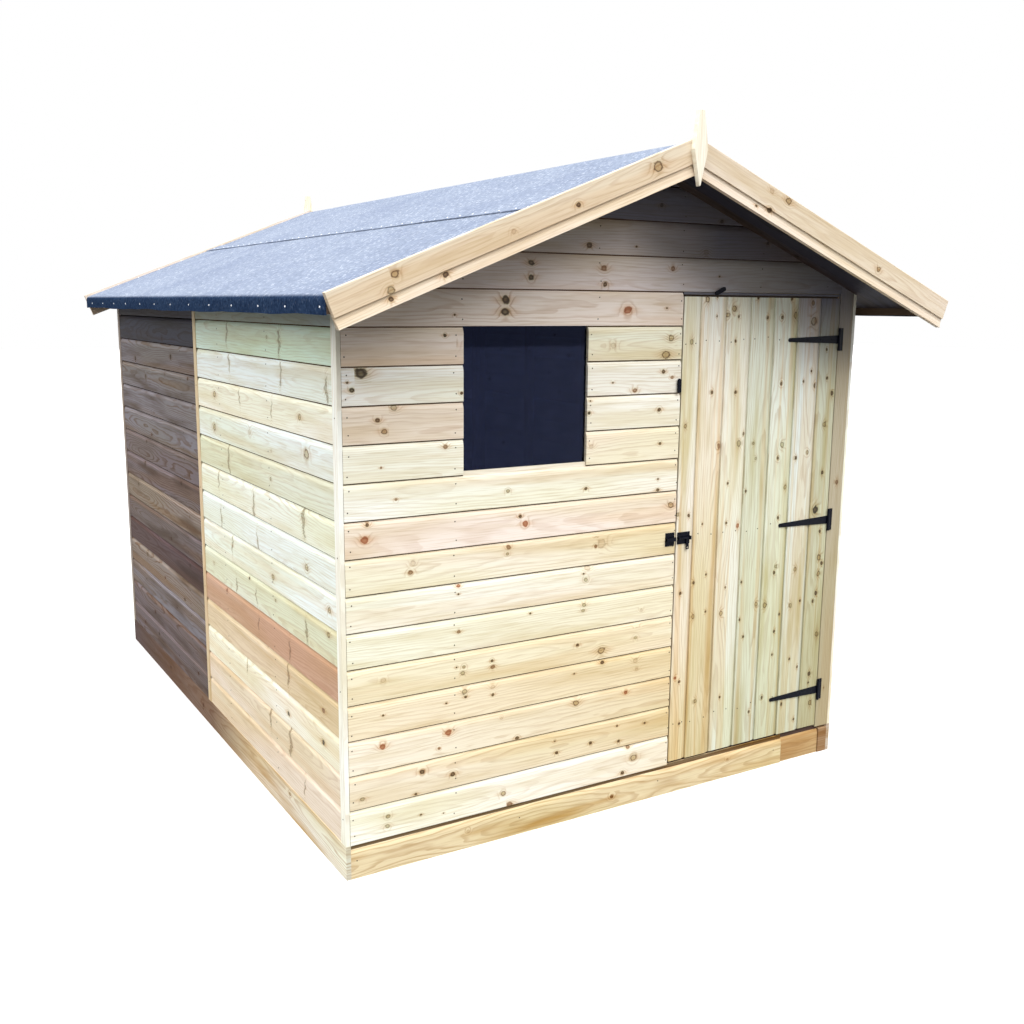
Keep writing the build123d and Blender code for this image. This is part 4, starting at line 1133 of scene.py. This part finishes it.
eaves_sheets = bmesh.new()
for side in (-1, 1):
    edge = on_slope(drop_x, FELT, side)
    inner = on_slope(drop_x - FELT_BEND, FELT, side)
    under = edge - Vector((0, 0, FELT_BEND))
    # from under the ridge sheet down the slope, then round the bend and down the eaves
    across = (lap_x - 0.074, lap_x - 0.03, lap_x + 0.06, 0.75, 0.9, 1.05, 1.15)
    path = [on_slope(x, FELT, side) for x in across]
    path += [inner.lerp(edge, t).lerp(edge.lerp(under, t), t) for t in (0, 0.25, 0.5, 0.75, 1)]
    path += [under.lerp(Vector((edge.x, 0, eaves_lo.z)), t) for t in (0.5, 1)]
    lay_felt(eaves_sheets, path)
dress(mesh_data("eaves_felt_sheets", eaves_sheets), "shed", felt, ["eaves_felt"])

# The ridge sheet from its edge to the middle: how far from the middle, and how far over the roof boards
over = [
    (lap_x, 2 * FELT + 0.001),
    (lap_x - 0.03, 2 * FELT),
    (lap_x - 0.072, 2 * FELT),
    (lap_x - ON_EAVES, FELT),
    (0.3, FELT),
    (0.15, FELT),
    (0.03, FELT * 1.1),
]
path = [on_slope(x, out, -1) for x, out in over] + [on_slope(0, FELT * 0.6)]
path += [on_slope(x, out) for x, out in reversed(over)]
ridge_sheet = bmesh.new()
lay_felt(ridge_sheet, path)
dress(mesh_data("ridge_felt_sheet", ridge_sheet), "shed", felt, ["ridge_felt"])


# Fastenings
def nail_head(radius):
    """A flat round head with a chamfered rim and a slightly dished face."""
    head = bmesh.new()
    bmesh.ops.create_cone(
        head, cap_ends=True, segments=7, radius1=radius, radius2=radius * 0.75, depth=0.0016
    )
    face = [f for f in head.faces if f.normal.z > 0.9]
    bmesh.ops.inset_region(head, faces=face, thickness=radius * 0.3, depth=-0.0002)
    return head


def screw_head(radius):
    """A round head with a driver slot across it."""
    head = bmesh.new()
    bmesh.ops.create_cone(
        head, cap_ends=True, segments=12, radius1=radius, radius2=radius * 0.72, depth=radius * 0.5
    )
    for side in (-1, 1):
        saw(head, (side * radius * 0.14, 0, 0), (1, 0, 0))
    slot = [f for f in head.faces if f.normal.z > 0.9 and abs(f.calc_center_median().x) < radius * 0.1]
    foot = moved_verts(bmesh.ops.extrude_face_region(head, geom=slot))
    bmesh.ops.translate(head, verts=foot, vec=(0, 0, -radius * 0.25))
    return head


def fasten(name, body, head, spots, material):
    """Sets a head at each spot, a point and the direction that it faces, in one piece."""
    shape = mesh_data(name + "_head", head)
    heads = bmesh.new()
    for point, out in spots:
        before = len(heads.verts)
        heads.from_mesh(shape)
        heads.verts.ensure_lookup_table()
        spin = Matrix.Rotation(rng.uniform(0, math.pi), 4, "Z")
        turn = Vector(out).to_track_quat("Z", "Y").to_matrix().to_4x4()
        verts = heads.verts[before:]
        bmesh.ops.transform(heads, matrix=Matrix.Translation(point) @ turn @ spin, verts=verts)
    bpy.data.meshes.remove(shape)
    dress(mesh_data(name, heads), body, material)


NAIL_UP = (0.025, 0.088)
NAIL_ROOM = 0.06
NAIL_UNDER_EDGE = 0.02
NAIL_RADIUS = 0.0026
CLOUT_RADIUS = 0.0034
SCREW_RADIUS = 0.0034
FRONT = -BACK


def stray(most):
    """How far a hand-driven nail lies from its line."""
    return rng.uniform(-most, most)


def nail_boards(corner, along, out, columns, height):
    """Two nails in every board at each column, which is a distance along the boards."""
    spots = []
    rise = 0.0
    while rise < height - NAIL_ROOM:
        for column in columns:
            for up in NAIL_UP:
                point = corner + along * (column + stray(0.005)) + UP * (rise + up + stray(0.006))
                roof_z = DECK_UNDER_Z - abs(point.x) * math.tan(SLOPE)
                if point.z < min(corner.z + height, roof_z) - NAIL_UNDER_EDGE:
                    spots.append((point, out))
        rise += COVER
    return spots


# Columns of nails on the front, from the left end of its boards; those of the other walls lie over studs
WALL_COLUMNS = (0.014, 0.372, 1.255)
LINTEL_COLUMNS = (0.014, 0.40, 0.91, 1.255)
GABLE_COLUMNS = (0.07, 0.40, 0.91, 1.255, 1.62, 1.95)
STRIP_NAILS = (0.2, 0.62, 1.04, 1.46, 1.8)
PLINTH_NAILS = (0.02, 0.62, 1.22, 1.8)
SIDE_STUDS = 6
REAR_STUDS = 4
STUD = 0.045
stud_lo, stud_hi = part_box("side_wall_studs")
side_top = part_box("left_wall_front_panel")[1].z
wall_nails = []
wall_nails += nail_boards(corner, RIGHT, FRONT, WALL_COLUMNS, sill_z - CLAD_Z)
wall_nails += nail_boards(left_start, RIGHT, FRONT, WALL_COLUMNS[:2], window_rise)
start = Vector((window_x1, FACE_Y, sill_z))
wall_nails += nail_boards(start, RIGHT, FRONT, (0.013, door_edge - window_x1 - 0.012), window_rise)
start = Vector((front_lo.x, FACE_Y, lintel_z))
wall_nails += nail_boards(start, RIGHT, FRONT, LINTEL_COLUMNS, head_z - lintel_z)
start = Vector((gable_lo.x, FACE_Y, head_z))
wall_nails += nail_boards(start, RIGHT, FRONT, GABLE_COLUMNS, RIDGE_Z - head_z)
for side in (-1, 1):
    start = Vector((side * (strip_hi.x - PROUD), 0, CLAD_Z))
    pitch = (stud_hi.y - stud_lo.y - STUD) / (SIDE_STUDS - 1)
    columns = [stud_lo.y + STUD / 2 + i * pitch for i in range(1, SIDE_STUDS - 1)]
    wall_nails += nail_boards(start, BACK, RIGHT * side, columns, side_top - CLAD_Z)
start = Vector((rear_lo.x, BACK_Y, CLAD_Z))
pitch = (rear_width - STUD) / (REAR_STUDS - 1)
columns = [STUD / 2 + i * pitch for i in range(REAR_STUDS)]
wall_nails += nail_boards(start, RIGHT, BACK, columns, RIDGE_Z - CLAD_Z)
for side in (-1, 1):
    for y in (FACE_Y + STRIP / 2, joint_y, BACK_Y - STRIP / 2):
        for z in STRIP_NAILS:
            wall_nails.append((Vector((side * strip_hi.x, y, z)), RIGHT * side))
for column in PLINTH_NAILS:
    wall_nails.append((Vector((long_lo.x + column, long_lo.y, 0.06)), FRONT))
fasten("wall_nails", "shed", nail_head(NAIL_RADIUS), wall_nails, nail_steel)

LEDGES = 3
LEDGE = 0.095
ledge_lo, ledge_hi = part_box("door_ledges")
pitch = (ledge_hi.z - ledge_lo.z - LEDGE) / (LEDGES - 1)
rows = [ledge_lo.z + LEDGE / 2 + i * pitch for i in range(LEDGES)]
door_nails = []
for z in rows:
    across = door_lo.x
    for board in range(len(DOOR_TONES)):
        size = DOOR_COVER if board else DOOR_FIRST_BOARD
        for part in (0.2, 0.72):
            x = across + part * size + stray(0.006)
            door_nails.append((Vector((x, FACE_Y, z + stray(0.012))), FRONT))
        across += size
fasten("door_nails", "door", nail_head(NAIL_RADIUS), door_nails, nail_steel)

# Clout nails: along the turned-down eaves, along both laps and up the verges
CLOUT_PITCH = 0.256
LAP_PITCH = 0.085
VERGE_PITCH = 0.11
VERGE_CLOUTS = 10
VERGE_INSET = 0.014
FROM_VERGE = 0.03
FROM_RIDGE = 0.06
UP_EAVES = 0.018
clouts = []
for side in (-1, 1):
    count = int((deck_hi.y - deck_lo.y) / CLOUT_PITCH)
    for i in range(count + 1):
        y = min(deck_lo.y + 0.04 + i * CLOUT_PITCH + stray(0.012), deck_hi.y - FROM_VERGE)
        point = Vector((side * (drop_x + 0.0006), y, eaves_lo.z + UP_EAVES))
        clouts.append((point, RIGHT * side))
    out = Vector((side * math.sin(SLOPE), 0, math.cos(SLOPE)))
    for i in range(int((deck_hi.y - deck_lo.y) / LAP_PITCH)):
        y = deck_lo.y + FROM_VERGE + i * LAP_PITCH + stray(0.01)
        clouts.append((on_slope(lap_x - 0.016, 2 * FELT + 0.002, side) + BACK * y, out))
    for y in (deck_lo.y + VERGE_INSET, deck_hi.y - VERGE_INSET):
        for i in range(VERGE_CLOUTS):
            x = FROM_RIDGE + i * VERGE_PITCH + stray(0.01)
            thick = 2 * FELT if lap_x - ON_EAVES < x < lap_x else FELT
            clouts.append((on_slope(x, thick + 0.0015, side) + BACK * y, out))
fasten("clout_nails", "shed", nail_head(CLOUT_RADIUS), clouts, bright_steel)

# Screws of the hinges, the bolt and its keep, by how far the middle of a head is from the boards
HINGE_SCREW_OUT = 0.0036
BOLT_SCREW_OUT = 0.0024
ALONG_STRAP = (0.035, 0.095, 0.165, 0.245)
UP_PLATE = (-0.030, 0.030)
pad_lo, pad_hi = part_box("bolt_plate")
keep_lo, keep_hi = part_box("bolt_keep")
pin_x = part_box("hinge_straps")[1].x - 0.005
plate_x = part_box("hinge_plates")[1].x - 0.0075
steel_y = FACE_Y - HINGE_SCREW_OUT
door_screws = []
post_screws = []
for z in rows:
    for inward in ALONG_STRAP:
        door_screws.append((Vector((pin_x - inward, steel_y, z)), FRONT))
    for up in UP_PLATE:
        post_screws.append((Vector((plate_x, steel_y, z + up)), FRONT))
bolt_y = FACE_Y - BOLT_SCREW_OUT
for x in (pad_lo.x + 0.014, pad_hi.x - 0.014):
    for z in (pad_lo.z + 0.006, pad_hi.z - 0.006):
        door_screws.append((Vector((x, bolt_y, z)), FRONT))
for x in (keep_lo.x + 0.009, keep_hi.x - 0.009):
    for z in (keep_lo.z + 0.006, keep_hi.z - 0.006):
        post_screws.append((Vector((x, bolt_y, z)), FRONT))
fasten("door_ironwork_screws", "door", screw_head(SCREW_RADIUS), door_screws, black_steel)
fasten("wall_ironwork_screws", "shed", screw_head(SCREW_RADIUS), post_screws, black_steel)

# CAD nodes whose shape is right, with their finish
FINISHES = {
    frame_along: ["floor_bearers", "side_wall_rails", "roof_purlins"],
    frame_across: ["front_wall_rails", "rear_wall_rails", "gable_rafters", "window_beads", "door_ledges"],
    frame_upright: ["front_wall_studs", "rear_wall_studs", "side_wall_studs"],
    # painted shade on the eaves fascias and the door stops
    shaded_timber_along: ["eaves_fascias"],
    shaded_timber_upright: ["door_stops"],
    black_steel: [
        "hinge_straps", "hinge_plates", "bolt", "bolt_plate", "bolt_keep",
        "top_turn_button", "side_turn_button",
    ],
    pane: ["window_glass"],
}
for material, names in FINISHES.items():
    for name in names:
        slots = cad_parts[name].data.materials
        slots.clear()
        slots.append(material)

# Floor and studio. The camera sees them pale; the shed is lit back by a floor as dark as a lawn
plate = bmesh.new()
bmesh.ops.create_grid(plate, x_segments=1, y_segments=1, size=40)
floor = bpy.data.objects.new("studio_floor", mesh_data("studio_floor", plate))
bpy.context.scene.collection.objects.link(floor)


def seen_directly(tree):
    """1 where the camera sees a thing, also in glass or metal, and 0 where it only lights others."""
    path = add(tree, "LightPath").outputs
    seen = calc(tree, "MAXIMUM", path["Is Camera Ray"], path["Is Glossy Ray"])
    return calc(tree, "MAXIMUM", seen, path["Is Transmission Ray"])


material, tree, shader = blank_material("pale_studio_floor")
pale = mix(tree, seen_directly(tree), linear("3c3b37"), linear("f4f4f4"))
wire(shader, {"Base Color": pale, "Roughness": 0.9})
floor.data.materials.append(material)

SKY_LEVEL = 0.46
world = bpy.data.worlds.new("soft_daylight")
bpy.context.scene.world = world
world.use_nodes = True
tree = world.node_tree
tree.nodes.clear()
level = calc(tree, "MULTIPLY_ADD", seen_directly(tree), 1.0 - SKY_LEVEL, SKY_LEVEL)
sky = add(tree, "Background", {"Color": (1, 1, 1, 1), "Strength": level})
add(tree, "OutputWorld", {"Surface": sky.outputs[0]})


def daylight(name, azimuth, elevation, level, spread):
    """A very soft sun, at degrees from the front to the left; level 1 fully lights what faces it."""
    lamp = bpy.data.lights.new(name, "SUN")
    lamp.energy = level * math.pi
    lamp.angle = math.radians(spread)
    holder = bpy.data.objects.new(name, lamp)
    bpy.context.scene.collection.objects.link(holder)
    turn, rise = math.radians(azimuth), math.radians(elevation)
    source = Vector((-math.sin(turn) * math.cos(rise), -math.cos(turn) * math.cos(rise), math.sin(rise)))
    holder.rotation_euler = source.to_track_quat("Z", "Y").to_euler()


daylight("high_front_light", -12, 50, 1.12, 55)
daylight("high_left_light", 90, 45, 0.92, 80)
daylight("high_back_light", 215, 50, 0.45, 80)

# Camera, at the photograph's angle, found from the lines of the boards
EYE = Vector((front_lo.x - 1.2269, FACE_Y - 3.0166, CLAD_Z + 1.6769))
YAW = math.radians(30.953)
PITCH = math.radians(-10.619)
ROLL = math.radians(0.48)
FOCAL_PIXELS = 1105.114
FRAME_PIXELS = 1024
SENSOR = 36.0
view = Vector((math.sin(YAW) * math.cos(PITCH), math.cos(YAW) * math.cos(PITCH), math.sin(PITCH)))
level_right = Vector((math.cos(YAW), -math.sin(YAW), 0))
level_up = level_right.cross(view)
right = level_right * math.cos(ROLL) + level_up * math.sin(ROLL)
up = level_up * math.cos(ROLL) - level_right * math.sin(ROLL)
camera = bpy.data.cameras.new("camera")
camera.sensor_width = SENSOR
camera.lens = SENSOR * FOCAL_PIXELS / FRAME_PIXELS
camera.clip_end = 200
camera_object = bpy.data.objects.new("camera", camera)
bpy.context.scene.collection.objects.link(camera_object)
camera_object.matrix_world = Matrix.Translation(EYE) @ Matrix((right, up, -view)).transposed().to_4x4()
bpy.context.scene.camera = camera_object
bpy.context.scene.view_settings.view_transform = "Standard"
